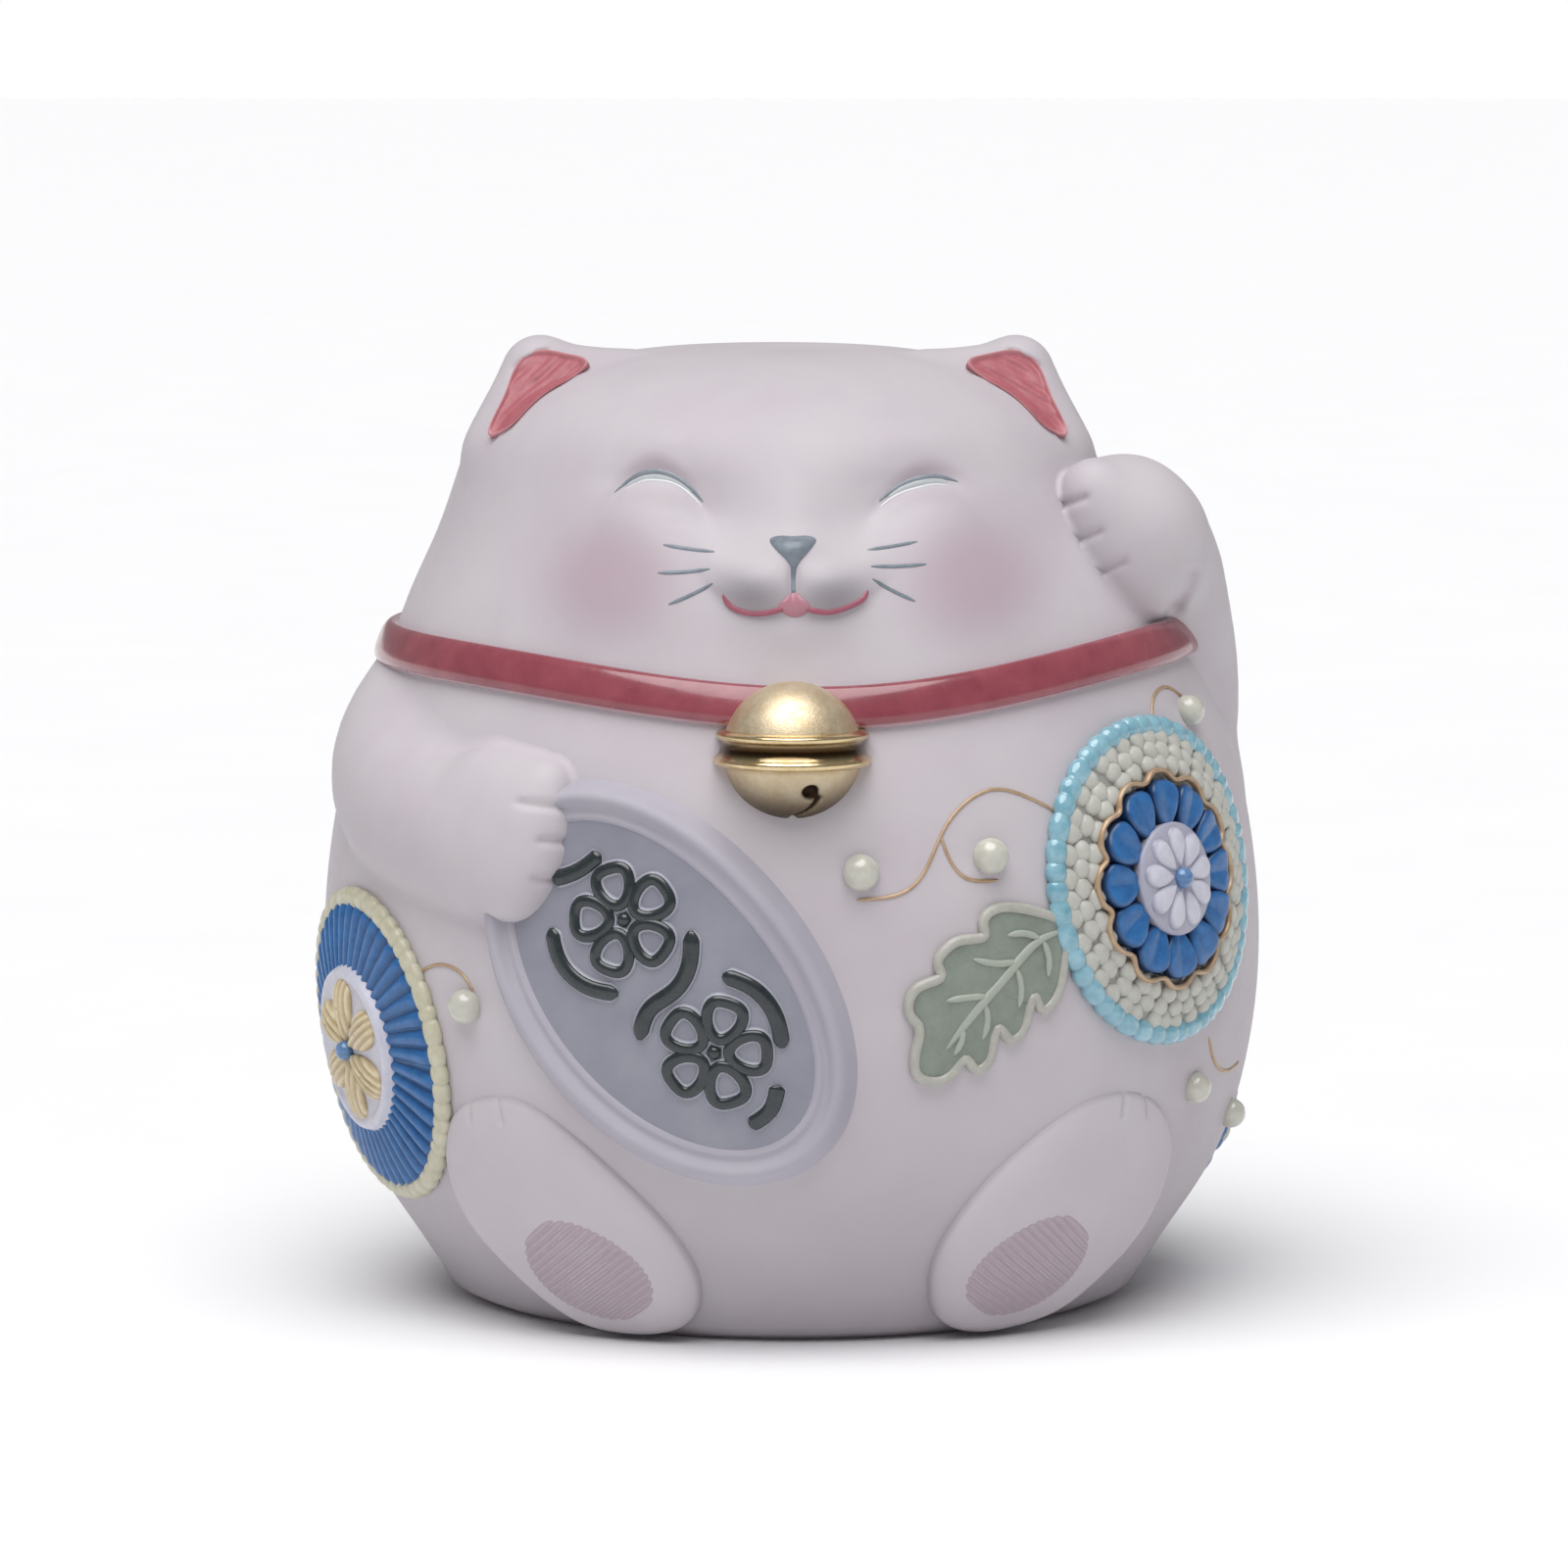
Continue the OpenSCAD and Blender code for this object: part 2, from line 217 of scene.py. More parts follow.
def grid_solid(rows, loop=False):
    """Closed solid from rings of points; rows[k, j] with j running round. Without loop, the first
    and the last ring are closed to a point in their middle."""
    rows = np.asarray(rows, float)
    k, j = rows.shape[:2]
    points = rows.reshape(-1, 3)
    index = np.arange(k * j).reshape(k, j)
    index = np.hstack([index, index[:, :1]])
    if loop:
        index = np.vstack([index, index[:1]])
    quads = np.stack([index[:-1, :-1], index[:-1, 1:], index[1:, 1:], index[1:, :-1]], -1).reshape(-1, 4)
    faces = [tuple(q) for q in quads.tolist()]
    if not loop:
        points = np.vstack([points, rows[0].mean(0), rows[-1].mean(0)])
        head, tail = k * j, k * j + 1
        faces += [(head, b, a) for a, b in zip(index[0, :-1].tolist(), index[0, 1:].tolist())]
        faces += [(tail, a, b) for a, b in zip(index[-1, :-1].tolist(), index[-1, 1:].tolist())]
    a, b, c, d = (points[quads[:, n]] for n in range(4))
    volume = np.einsum("ij,ij->", a, np.cross(b, c)) + np.einsum("ij,ij->", a, np.cross(c, d))
    if volume < 0:
        faces = [f[::-1] for f in faces]
    return points, faces


def merged(solids):
    """One list of points and faces from several solids."""
    points, faces, start = [], [], 0
    for p, f in solids:
        points.append(p)
        faces += [tuple(v + start for v in face) for face in f]
        start += len(p)
    return np.vstack(points), faces


def make_piece(name, solids, finish, nodes=None, **tints):
    """Blender object from solids in millimetres, riding on the root and standing for CAD nodes: the
    one of its own name, unless others are given. A tint says how strongly its colour shows, on the
    whole piece or at each of its first points."""
    points, faces = merged(solids)
    mesh = bpy.data.meshes.new(name)
    mesh.from_pydata((points * MM).tolist(), [], faces)
    mesh.validate()
    mesh.polygons.foreach_set("use_smooth", [True] * len(mesh.polygons))
    material, slot = finish
    mesh.materials.append(material)
    mesh.update()
    for attribute, strength in tints.items():
        strength = np.clip(strength, 0, 1)
        values = np.zeros(len(mesh.vertices), np.float32)
        values[:strength.size if strength.ndim else None] = strength.ravel()
        mesh.attributes.new(attribute, "FLOAT", "POINT").data.foreach_set("value", values)
    piece = placed(name, mesh)
    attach(piece, "root")
    nodes = [name] if nodes is None else nodes
    if nodes:
        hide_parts(*nodes)


def pad(surface, outline, t, top, low, middle=(0, 0), under=(1, 0.1)):
    """Closed pad on a surface: the outline shrunk round its middle to the shares t, at the heights
    top(flat, t), and shrunk to the shares in under, at the height low."""
    def shrunk(share):
        return np.array(middle) + (outline - np.array(middle)) * np.array(share)[:, None, None]

    flat = shrunk(t)
    return grid_solid(np.concatenate([surface(flat, top(flat, t[:, None])), surface(shrunk(under), low)]))


def cushion(place, outline, height, rings=10, turn=0.0, grow=None):
    """Pad on the body round place; height(flat, t) with t from 0 to 1 at the edge."""
    t = shares(rings, 0.04) if grow is None else grow
    under = np.linspace(1, 0.06, max(2, rings // 4))
    return pad(on_patch(place, turn), outline, t, height, -0.5, under=under)


def band(place, inner, outer, height, rings, turn=0.0):
    """Closed ring on the body between two outlines; height(flat, t) across it."""
    t = np.linspace(0, 1, rings)[:, None]
    flat = inner * (1 - t[..., None]) + outer * t[..., None]
    top = lay_on(place, flat, height(flat, t), turn)
    return grid_solid(np.concatenate([top, lay_on(place, flat[::-3], -0.5, turn)]), loop=True)


def oval(a, b, count, power=2.0):
    """Rounded outline; power over 2 makes it squarer."""
    t = np.arange(count) * TAU / count
    c, s = np.cos(t), np.sin(t)
    r = (np.abs(c) ** power + np.abs(s) ** power) ** (-1 / power)
    return np.stack([a * r * c, b * r * s], 1)


def ring_outline(radius, count, waves=0, depth=0.0, sharp=1.0):
    t = np.arange(count) * TAU / count
    return polar(radius + depth * (2 * np.abs(np.cos(waves * t / 2)) ** sharp - 1), t)


def line_on(surface, path, half_wide, half_high, lift=0.0, sides=8, taper=3, count=40, closed=False):
    """Raised line of oval section along a path on surface(path, h); its open ends taper off."""
    line = smooth_line(path, count, closed)
    base = surface(line, 0.0)
    up = surface(line, 1.0) - base
    up /= np.linalg.norm(up, axis=1, keepdims=True)
    along = np.roll(base, -1, 0) - np.roll(base, 1, 0) if closed else np.gradient(base, axis=0)
    side = np.cross(along, up)
    side /= np.linalg.norm(side, axis=1, keepdims=True)
    size = np.ones((count, 1, 1))
    if not closed:
        walk = np.arange(count)
        size[:, 0, 0] = np.sqrt(np.clip(np.minimum(walk + 0.4, count - 0.6 - walk) / taper, 0.03, 1))
    t = (np.arange(sides) * TAU / sides)[:, None]
    rows = ((base + up * lift)[:, None] + side[:, None] * half_wide * size * np.cos(t)
            + up[:, None] * half_high * size * np.sin(t))
    return grid_solid(rows, loop=closed)


# ---------------- distance fields

def soft_min(a, b, reach):
    """Smaller of two fields, with a fillet of the given reach between them."""
    h = np.clip(reach - np.abs(a - b), 0, None) / reach
    return np.minimum(a, b) - h * h * reach / 4


def soft_max(a, b, reach):
    return -soft_min(-a, -b, reach)


def to_segment(p, start, end):
    """Distance from a straight segment, and the share of the way along it."""
    d = end - start
    t = np.clip((p - start) @ d / (d @ d + 1e-12), 0, 1)
    return np.sqrt(((p - start - t[..., None] * d) ** 2).sum(-1)), t


def limb_distance(p, spine):
    """Distance from a limb whose spine is rows of (x, y, z, radius)."""
    best = None
    for start, end in zip(spine[:-1], spine[1:]):
        away, t = to_segment(p, start[:3], end[:3])
        away -= start[3] + t * (end[3] - start[3])
        best = away if best is None else soft_min(best, away, 1.5)
    return best


def line_distance(p, line):
    """Distance from a bent line of points, flat or in space."""
    return np.min([to_segment(p, start, end)[0] for start, end in zip(line[:-1], line[1:])], 0)


def triangle_distance(p, a, b, c):
    """Distance from a flat triangle."""
    normal = np.cross(b - a, c - a)
    normal /= np.linalg.norm(normal)
    inside, edge = True, np.inf
    for u, v in ((a, b), (b, c), (c, a)):
        inside = inside & ((p - u) @ np.cross(normal, v - u) >= 0)
        edge = np.minimum(edge, to_segment(p, u, v)[0])
    return np.where(inside, np.abs((p - a) @ normal), edge)


TABLE_R, TABLE_Z = np.arange(0, 121.0), np.arange(-20, 201.0)


def distance_table():
    """Signed distance to the outline, for each (radius, height) of the table."""
    r, z = np.meshgrid(TABLE_R, TABLE_Z, indexing="ij")
    outline = np.vstack([[[0, 0]], profile[::12], profile[-1:]])
    inside = (z > 0) & (z < PZ[-1]) & (r < radius_at(z))
    return line_distance(np.stack([r, z], -1), outline) * np.where(inside, -1, 1)


TABLE = distance_table()


def form_distance(p):
    """Signed distance from the smooth form of body and head."""
    x, y, z = np.moveaxis(p, -1, 0)
    r = np.clip(np.hypot(x - lean(z), y), 0, TABLE_R[-1] - 1e-6)
    q = np.clip(z - TABLE_Z[0], 0, len(TABLE_Z) - 1 - 1e-6)
    i, j = r.astype(int), q.astype(int)
    fr, fz = r - i, q - j
    return ((1 - fr) * ((1 - fz) * TABLE[i, j] + fz * TABLE[i, j + 1])
            + fr * ((1 - fz) * TABLE[i + 1, j] + fz * TABLE[i + 1, j + 1]))


def net(field, low, high, step, keep=None):
    """Quads round field(p) = 0 inside a box; keep(p) limits where they are made."""
    axes = [np.arange(start, end + step, step) for start, end in zip(low, high)]
    p = np.stack(np.meshgrid(*axes, indexing="ij"), -1)
    f = field(p)
    inside = f < 0
    shape = tuple(n - 1 for n in f.shape)
    corner = np.array([(i, j, k) for i in (0, 1) for j in (0, 1) for k in (0, 1)])
    total = sum(inside[tuple(slice(a, a + n) for a, n in zip(c, shape))].astype(int) for c in corner)
    mixed = (total > 0) & (total < 8)
    if keep:
        mixed &= keep(p[:-1, :-1, :-1] + step / 2)
    cells = np.argwhere(mixed)
    number = np.full(shape, -1)
    number[mixed] = np.arange(len(cells))
    summed, hits = np.zeros(cells.shape), np.zeros((len(cells), 1))
    for c in corner:
        for axis in np.flatnonzero(c == 0):
            d = c + np.eye(3, dtype=int)[axis]
            fa, fb = f[tuple((cells + c).T)], f[tuple((cells + d).T)]
            cut = (fa < 0) != (fb < 0)
            share = np.where(cut, fa / np.where(cut, fa - fb, 1), 0)
            summed += (c + share[:, None] * (d - c)) * cut[:, None]
            hits += cut[:, None]
    points = (cells + summed / hits) * step + p[0, 0, 0]
    faces = []
    for axis in range(3):
        others = [n for n in range(3) if n != axis]
        where = np.argwhere(np.diff(inside, axis=axis))
        where = where[((where > 0) & (where < shape))[:, others].all(1)]
        quad = []
        for offset in ((1, 1), (0, 1), (0, 0), (1, 0)):
            cell = where.copy()
            cell[:, others] -= offset
            quad.append(number[tuple(cell.T)])
        quad = np.stack(quad, 1)
        forward = inside[tuple(where.T)] ^ (axis == 1)
        quad = np.where(forward[:, None], quad, quad[:, ::-1])
        faces.append(quad[(quad >= 0).all(1)])
    return settle(field, points), [tuple(f) for f in np.concatenate(faces).tolist()]


def settle(field, points, rounds=3, reach=0.05):
    """Move points along the field's slope until they lie on field = 0."""
    for _ in range(rounds):
        slope = np.stack([field(points + d) - field(points - d) for d in reach * np.eye(3)], 1) / (2 * reach)
        move = field(points)[:, None] * slope / np.maximum((slope ** 2).sum(1), 0.2)[:, None]
        points = points - np.clip(move, -1, 1)
    return points


def capped(points, faces, depth=1.2):
    """Close each open edge loop of a net with a fan to a point nearer the axis than its middle."""
    edges = dict.fromkeys((a, b) for f in faces for a, b in zip(f, f[1:] + f[:1]))
    loose = {b: a for a, b in edges if (b, a) not in edges}
    while loose:
        here = next(iter(loose))
        loop = []
        while here in loose:
            loop.append(here)
            here = loose.pop(here)
        if len(loop) < 3:
            continue
        middle = points[loop].mean(0)
        inward = middle * (-1, -1, 0)
        points = np.vstack([points, middle + inward / max(np.linalg.norm(inward), 1e-6) * depth])
        faces = faces + [(a, b, len(points) - 1) for a, b in zip(loop, loop[1:] + loop[:1])]
    return points, faces


def fused_piece(name, shape, low, high, step, reach, carve=None, cut=None):
    """Porcelain piece from the outer skin of a shape that flows into the body, closed inside the
    wall. reach(p) is the fillet's width, carve presses creases in, and cut removes a region outside
    the body. All three, and shape, are fields of p."""
    def field(p):
        body = form_distance(p)
        both = soft_min(shape(p), body, reach(p))
        if carve:
            both = both + carve(p)
        if cut:
            both = soft_max(both, -np.maximum(cut(p), -body), 0.5)
        return both

    points, faces = net(field, low, high, step, lambda p: shape(p) < reach(p) + 1.6)
    sink = 0.3 * ease((shape(points) - reach(points)) / 1.2)
    down = points * (-1, -1, 0)
    down[:, 0] += lean(points[:, 2])
    down /= np.linalg.norm(down, axis=1, keepdims=True)
    make_piece(name, [capped(points + down * sink[:, None], faces)], PORCELAIN)


# ---------------- materials

def srgb(r, g, b):
    """Shader colour from the 0-255 values of a colour picker."""
    linear = [c / 255 / 12.92 if c < 11 else ((c / 255 + 0.055) / 1.055) ** 2.4 for c in (r, g, b)]
    return (*linear, 1.0)


# The record's slot for each finish that has another name than its slot
SLOTS = {"bisque_lilac": "bisque", "eye_pale": "face_grey", "gilt_satin": "gilt",
         "gilt_polished": "gilt_band"}


def wire(tree, node, **settings):
    """Set a node's sockets, or link them where the setting is another node's output."""
    for name, value in settings.items():
        socket = node.inputs[name.replace("_", " ")]
        if isinstance(value, bpy.types.NodeSocket):
            tree.links.new(value, socket)
        else:
            socket.default_value = value


def new_node(tree, kind, output, **settings):
    """Output of a new node whose sockets are set or linked."""
    node = tree.nodes.new("ShaderNode" + kind)
    wire(tree, node, **settings)
    return node.outputs[output]


class Finish:
    """A node material whose colour, roughness and bump vary at the real scale of the surface."""

    def __init__(self, name):
        self.name = name
        self.material = bpy.data.materials.new(name)
        self.material.use_nodes = True
        self.tree = self.material.node_tree
        self.place = new_node(self.tree, "TexCoord", "Object")

    def noise(self, size_mm, detail=3.0, rough=0.55):
        """Noise whose blotches are about size_mm across."""
        where = new_node(self.tree, "Mapping", "Vector", Vector=self.place, Scale=[1 / (size_mm * MM)] * 3)
        return new_node(self.tree, "TexNoise", "Fac", Vector=where, Scale=1.0, Detail=detail, Roughness=rough)

    def between(self, value, spread, low=0.0, high=1.0):
        """Noise that lies within spread of one half, stretched from low to high."""
        return new_node(self.tree, "MapRange", "Result", Value=value, From_Min=0.5 - spread,
                        From_Max=0.5 + spread, To_Min=low, To_Max=high)

    def mixed(self, factor, first, second):
        node = self.tree.nodes.new("ShaderNodeMix")
        node.data_type = "RGBA"
        self.tree.links.new(factor, node.inputs["Factor"])
        for socket, colour in ((node.inputs[6], first), (node.inputs[7], second)):
            if isinstance(colour, tuple):
                socket.default_value = colour
            else:
                self.tree.links.new(colour, socket)
        return node.outputs[2]

    def mottled(self, blotches, spread, light, dark, tints):
        """Two colours in blotches, under the tints painted on the pieces' points."""
        colour = self.mixed(self.between(blotches, spread), srgb(*light), srgb(*dark))
        for attribute, tint in tints.items():
            painted = self.tree.nodes.new("ShaderNodeAttribute")
            painted.attribute_name = attribute
            colour = self.mixed(painted.outputs["Fac"], colour, srgb(*tint))
        return colour

    def bump(self, height, depth_mm, strength=1.0, **under):
        return new_node(self.tree, "Bump", "Normal", Height=height, Strength=strength,
                        Distance=depth_mm * MM, **under)

    def done(self, colour, roughness, normal, **uniform):
        """The finished material and the record's slot for it."""
        wire(self.tree, self.tree.nodes["Principled BSDF"], Base_Color=colour, Roughness=roughness,
             Normal=normal, **uniform)
        return self.material, SLOTS.get(self.name, self.name)


def bisque(name, light, dark, **tints):
    """Unglazed porcelain: faint mottling and fine grain."""
    f = Finish(name)
    colour = f.mottled(f.noise(26, 4), 0.15, light, dark, tints)
    grain = f.bump(f.noise(0.35, 2), 0.012, 0.6)
    normal = f.bump(f.noise(5, 3), 0.05, 0.5, Normal=grain)
    return f.done(colour, f.between(f.noise(1.2, 4), 0.2, 0.5, 0.66), normal, Specular_IOR_Level=0.35)


def glaze(name, light, dark, rough, coat, patch, **tints):
    """Coloured glaze: it pools lighter and darker, and its gloss is slightly uneven."""
    f = Finish(name)
    colour = f.mottled(f.noise(patch, 4), 0.2, light, dark, tints)
    return f.done(colour, f.between(f.noise(2.2, 4), 0.2, *rough), f.bump(f.noise(1.6, 2), 0.03, 0.6),
                  Coat_Weight=coat, Coat_Roughness=0.08)


def enamel(name, light, dark, rough, patch=2.0, grain=0.5, depth=0.02, **tints):
    """Satin painted relief, with brushed unevenness."""
    f = Finish(name)
    colour = f.mottled(f.noise(patch, 5, 0.65), 0.18, light, dark, tints)
    return f.done(colour, f.between(f.noise(0.9, 4), 0.2, *rough), f.bump(f.noise(grain, 3), depth, 0.7),
                  Coat_Weight=0.15, Coat_Roughness=0.2)


def gilding(name, light, dark, rough, pit_mm, depth, metal=0.92, **tints):
    """Fired gold: metal with worn, slightly pitted roughness."""
    f = Finish(name)
    colour = f.mottled(f.noise(3.0, 5, 0.65), 0.2, light, dark, tints)
    normal = f.bump(f.noise(pit_mm, 4), depth, 0.8)
    return f.done(colour, f.between(f.noise(0.8, 5, 0.6), 0.2, *rough), normal, Metallic=metal)


# The bisque's shade tint is the colour of painted shade: at the body's base and lower wall, under the muzzle,
# above the eyes and where the feet meet the body.
PORCELAIN = bisque("bisque", (199, 193, 198), (193, 185, 191), blush=(178, 158, 169), shade=(143, 138, 145))
COIN_BISQUE = bisque("bisque_lilac", (178, 174, 184), (170, 166, 178), shade=(146, 144, 158))
# The sole's shade tint is painted shade in the furrows between its ribs and round its edge.
SOLE = bisque("sole_pink", (183, 169, 176), (176, 161, 169), shade=(168, 152, 162))
EAR_PINK = enamel("ear_pink", (180, 102, 111), (166, 90, 99), (0.42, 0.6), 2.2, 0.9, 0.06,
                  shade=(200, 142, 147))
# The face grey's shade tint paints the middle of each eyelid line paler, as the crease's soft shadow.
FACE_GREY = enamel("face_grey", (132, 142, 152), (108, 116, 126), (0.35, 0.5), shade=(168, 170, 176))
# The eye pale's shade tint is near-white: a painted highlight along the eyelids' lower edges.
EYE_PALE = enamel("eye_pale", (192, 197, 199), (182, 188, 190), (0.35, 0.5), shade=(226, 226, 230))
LIP_PINK = enamel("mouth_pink", (170, 94, 112), (152, 78, 98), (0.3, 0.45), shade=(190, 140, 152))
COLLAR_RED = glaze("collar_red", (152, 75, 86), (134, 60, 72), (0.16, 0.28), 0.5, 6, shade=(204, 180, 186))
# The satin gilt's shade tint is painted shade inside the bell's slit and on its lower half.
GOLD = gilding("gilt_satin", (230, 214, 186), (212, 191, 155), (0.4, 0.56), 0.4, 0.06, 0.86,
               shade=(40, 26, 14))
# The polished gilt's shade tint is a painted dark reflection in the bell band's groove.
GOLD_BAND = gilding("gilt_polished", (230, 210, 170), (206, 178, 126), (0.12, 0.24), 1.2, 0.03,
                    shade=(62, 42, 20))
GOLD_LINE = gilding("vine_gold", (196, 172, 146), (174, 144, 114), (0.35, 0.5), 0.5, 0.03, 0.35)
COIN_LILAC = glaze("coin_field", (146, 146, 158), (133, 134, 148), (0.3, 0.45), 0.25, 9,
                   shade=(166, 167, 178))
INK = glaze("coin_ink", (44, 52, 54), (30, 38, 42), (0.18, 0.34), 0.4, 2)
TURQUOISE = glaze("turquoise", (150, 192, 206), (108, 160, 178), (0.08, 0.2), 0.8, 3)
# The scale cream's shade tint is painted shade between the scales and round their rims.
SCALE_CREAM = enamel("scale_cream", (194, 194, 187), (180, 179, 171), (0.35, 0.5), shade=(140, 139, 136))
# The cobalt's shade tint is painted shade: under and round the left flower's petals, and in the pleats'
# folds.
COBALT = enamel("cobalt", (48, 112, 174), (32, 90, 148), (0.3, 0.46), 2, 0.6, 0.03, shade=(22, 50, 92))
# The white petal's shade tint is painted shade at the edges of the centre's ribs, and the centre disc's own
# greyer tone.
WHITE_PETAL = enamel("white_petal", (208, 207, 218), (194, 193, 208), (0.3, 0.46), shade=(150, 150, 168))
BEAD_BLUE = glaze("bead_blue", (104, 140, 182), (78, 116, 162), (0.2, 0.3), 0.5, 1.5)
RIM_CREAM = enamel("cream_rim", (204, 201, 180), (188, 183, 158), (0.3, 0.45))
PETAL_CREAM = enamel("cream_petal", (228, 216, 184), (212, 196, 160), (0.3, 0.45), shade=(160, 132, 92))
LEAF_GREEN = enamel("leaf_green", (137, 146, 136), (121, 131, 121), (0.34, 0.5), 4, shade=(182, 187, 175))
LEAF_PALE = enamel("leaf_vein", (180, 179, 171), (166, 165, 157), (0.34, 0.5))
PEARL = glaze("pearl", (204, 203, 192), (190, 188, 177), (0.16, 0.28), 0.6, 2)


# ---------------- body and head shells

BASE_R = 57.2
RING_R = 53.0
RING_DEEP = 1.2
CHAMFER = 2.3
VENT_R = 4.0
VENT_BACK = 24.0


def body_shell():
    """Hollow body: wall, floor, foot ring and vent hole, with a painted contact shadow along its base and
    painted shade darkening its lower wall.
    """
    az = np.arange(300) * 1.2
    top = seam_walk(az)
    share = np.linspace(0, 1, 120)[:, None]
    outer = on_form(az[None], CHAMFER + share * (top - CHAMFER), 0.0)
    inner = on_form(az[None], top - share[::3] * (top - s_of(WALL + 2)), -WALL)

    def circle(radius, z, towards_vent=0):
        """Level ring; towards_vent 1 makes it the rim of the vent hole."""
        r = radius * (1 - towards_vent) + VENT_R * towards_vent
        angle = np.radians(az)
        return np.stack([r * np.sin(angle), VENT_BACK * towards_vent - r * np.cos(angle), z + 0 * az], -1)

    floor = [circle(BASE_R, WALL, t) for t in (0.05, 0.4, 0.8, 1)]
    under = [circle(RING_R, RING_DEEP, t) for t in (1, 0.7, 0.3, 0)]
    foot = [circle(RING_R + 1.2, 0.0), circle(BASE_R, 0.0)]
    rows = np.concatenate([outer, inner, np.array(floor + under + foot)])
    # Painted shade: a dark contact shadow along the base, and the lower wall darker towards the foot.
    shade = np.maximum(np.exp(-(outer[..., 2] / 2.2) ** 2), 0.35 * (1 - ease(outer[..., 2] / 60)))
    make_piece("body", [grid_solid(rows, loop=True)], PORCELAIN, ["body_shell"], shade=shade)


EYE_LEFT, EYE_RIGHT = 21.7, -23.1
EYE_Z = 148.4
MOUTH_Z = 125.2


def from_eye(x):
    """Sideways distance from the middle of the nearer eye, growing outwards."""
    return np.where(x > 0, x - EYE_LEFT, EYE_RIGHT - x)


def eye_height(x):
    """Height of the closed eye's line above each cheek; the cat's left eye slants up outwards."""
    off = from_eye(x)
    return np.where(x > 0, 147.7 + 0.23 * off - 0.051 * off ** 2, 149.0 + 0.05 * off - 0.081 * off ** 2)


def mouth_height(x):
    return MOUTH_Z + 2.4 * np.abs((x - 0.5) / 11.5) ** 3


def face_relief(x, z):
    """How far the modelled face stands out from the smooth head, by front-view place."""
    side, off = np.abs(x), from_eye(x)
    out = 3.2 * hill(x, z, 0, 131, 14, 8)
    puffs = hill(side, z, 6.4, 128.8, 6.0, 4.4)
    out = out + 2.7 * puffs * step_up(z - mouth_height(x), 0.4)
    out = out - 1.1 * hill(x, z, 0.2, 129.5, 0.9, 3.0)
    out = out + 0.5 * hill(x, z, 0.5, 122.6, 7, 2.6)
    out = out + 1.7 * hill(x, z, 0.2, 135, 4.2, 2.8)
    out = out + 1.6 * hill(x, z, 0, 142.5, 6.5, 9)
    out = out - 1.9 * hill(side, z, 15.5, 142.5, 6.5, 5)
    under_eye = step_up(eye_height(x) - 1.5 - z, 0.35 + 0.06 * np.clip(np.abs(off) - 4, 0, 14) ** 2)
    out = out + 1.9 * hill(off, z, 0, 140, 10, 8.5) * under_eye
    out = out - 0.7 * hill(off, z, 0, EYE_Z - 1, 9, 2.2)
    out = out + 0.7 * hill(off, z, 0, 154, 9, 3)
    out = out + 1.7 * hill(side, z, 29, 129.5, 13, 10)
    return out


def face(line, h):
    """Points on the modelled face from rows of (x, height) as they look from the front, raised h."""
    x, z = line[..., 0], line[..., 1]
    for _ in range(3):
        z = line[..., 1] - 0.33 * face_relief(x, z)
    az = np.degrees(np.arcsin(np.clip((x - lean(z)) / radius_at(z), -1, 1)))
    return on_form(az, s_of(z), face_relief(x, z) + h)


def head_shell():
    """Hollow head with the modelled face, open at the neck, with painted blush, painted shade under the
    muzzle and a painted shadow band above each eye.
    """
    az = np.concatenate([np.arange(-40, 40, 0.38), np.linspace(40, 320, 180)[:-1]])
    low, top = seam_walk(az), PS[-1] - 0.6
    start, crown = s_of(122.0), s_of(157)
    rise = np.linspace(0, 1, 13)[:-1, None]
    steps = np.concatenate([np.arange(start, crown, 0.4), np.linspace(crown, top, 46)])
    walks = np.concatenate([low + rise * (start - low), np.repeat(steps[:, None], len(az), 1)])
    plain = on_form(az[None], walks, 0.0)
    in_front = np.abs((az + 180) % 360 - 180) < 90
    x, z = plain[..., 0], plain[..., 2]
    outer = on_form(az[None], walks, in_front * face_relief(x, z))
    inner = on_form(az[None], low + np.linspace(0, 1, 24)[:, None] * (top - low), -WALL)
    side, off = np.abs(x), from_eye(x)
    # Painted shadow: a band under the brow above each eye, painted both darker and pinker.
    shadow_over_eye = hill(off, z, 0, eye_height(x) + 1.2, 6, 1.5)
    blush = (0.9 * np.exp(-(((side - 30.5) / 12) ** 2 + ((z - 130.4) / 10) ** 2) ** 1.4)
             + 0.7 * shadow_over_eye + 0.3 * hill(off, z, 0, 144.8, 5, 1.5))
    # Painted shade under the muzzle's puffs above the mouth, and in the shadow band above each eye.
    shade = 0.85 * hill(side, z, 6.5, mouth_height(x) + 1.6, 6.4, 3.0) + 0.35 * shadow_over_eye
    make_piece("head", [grid_solid(np.concatenate([outer[::-1], inner]))], PORCELAIN, ["head_shell"],
               blush=(in_front * blush)[::-1], shade=(in_front * shade)[::-1])


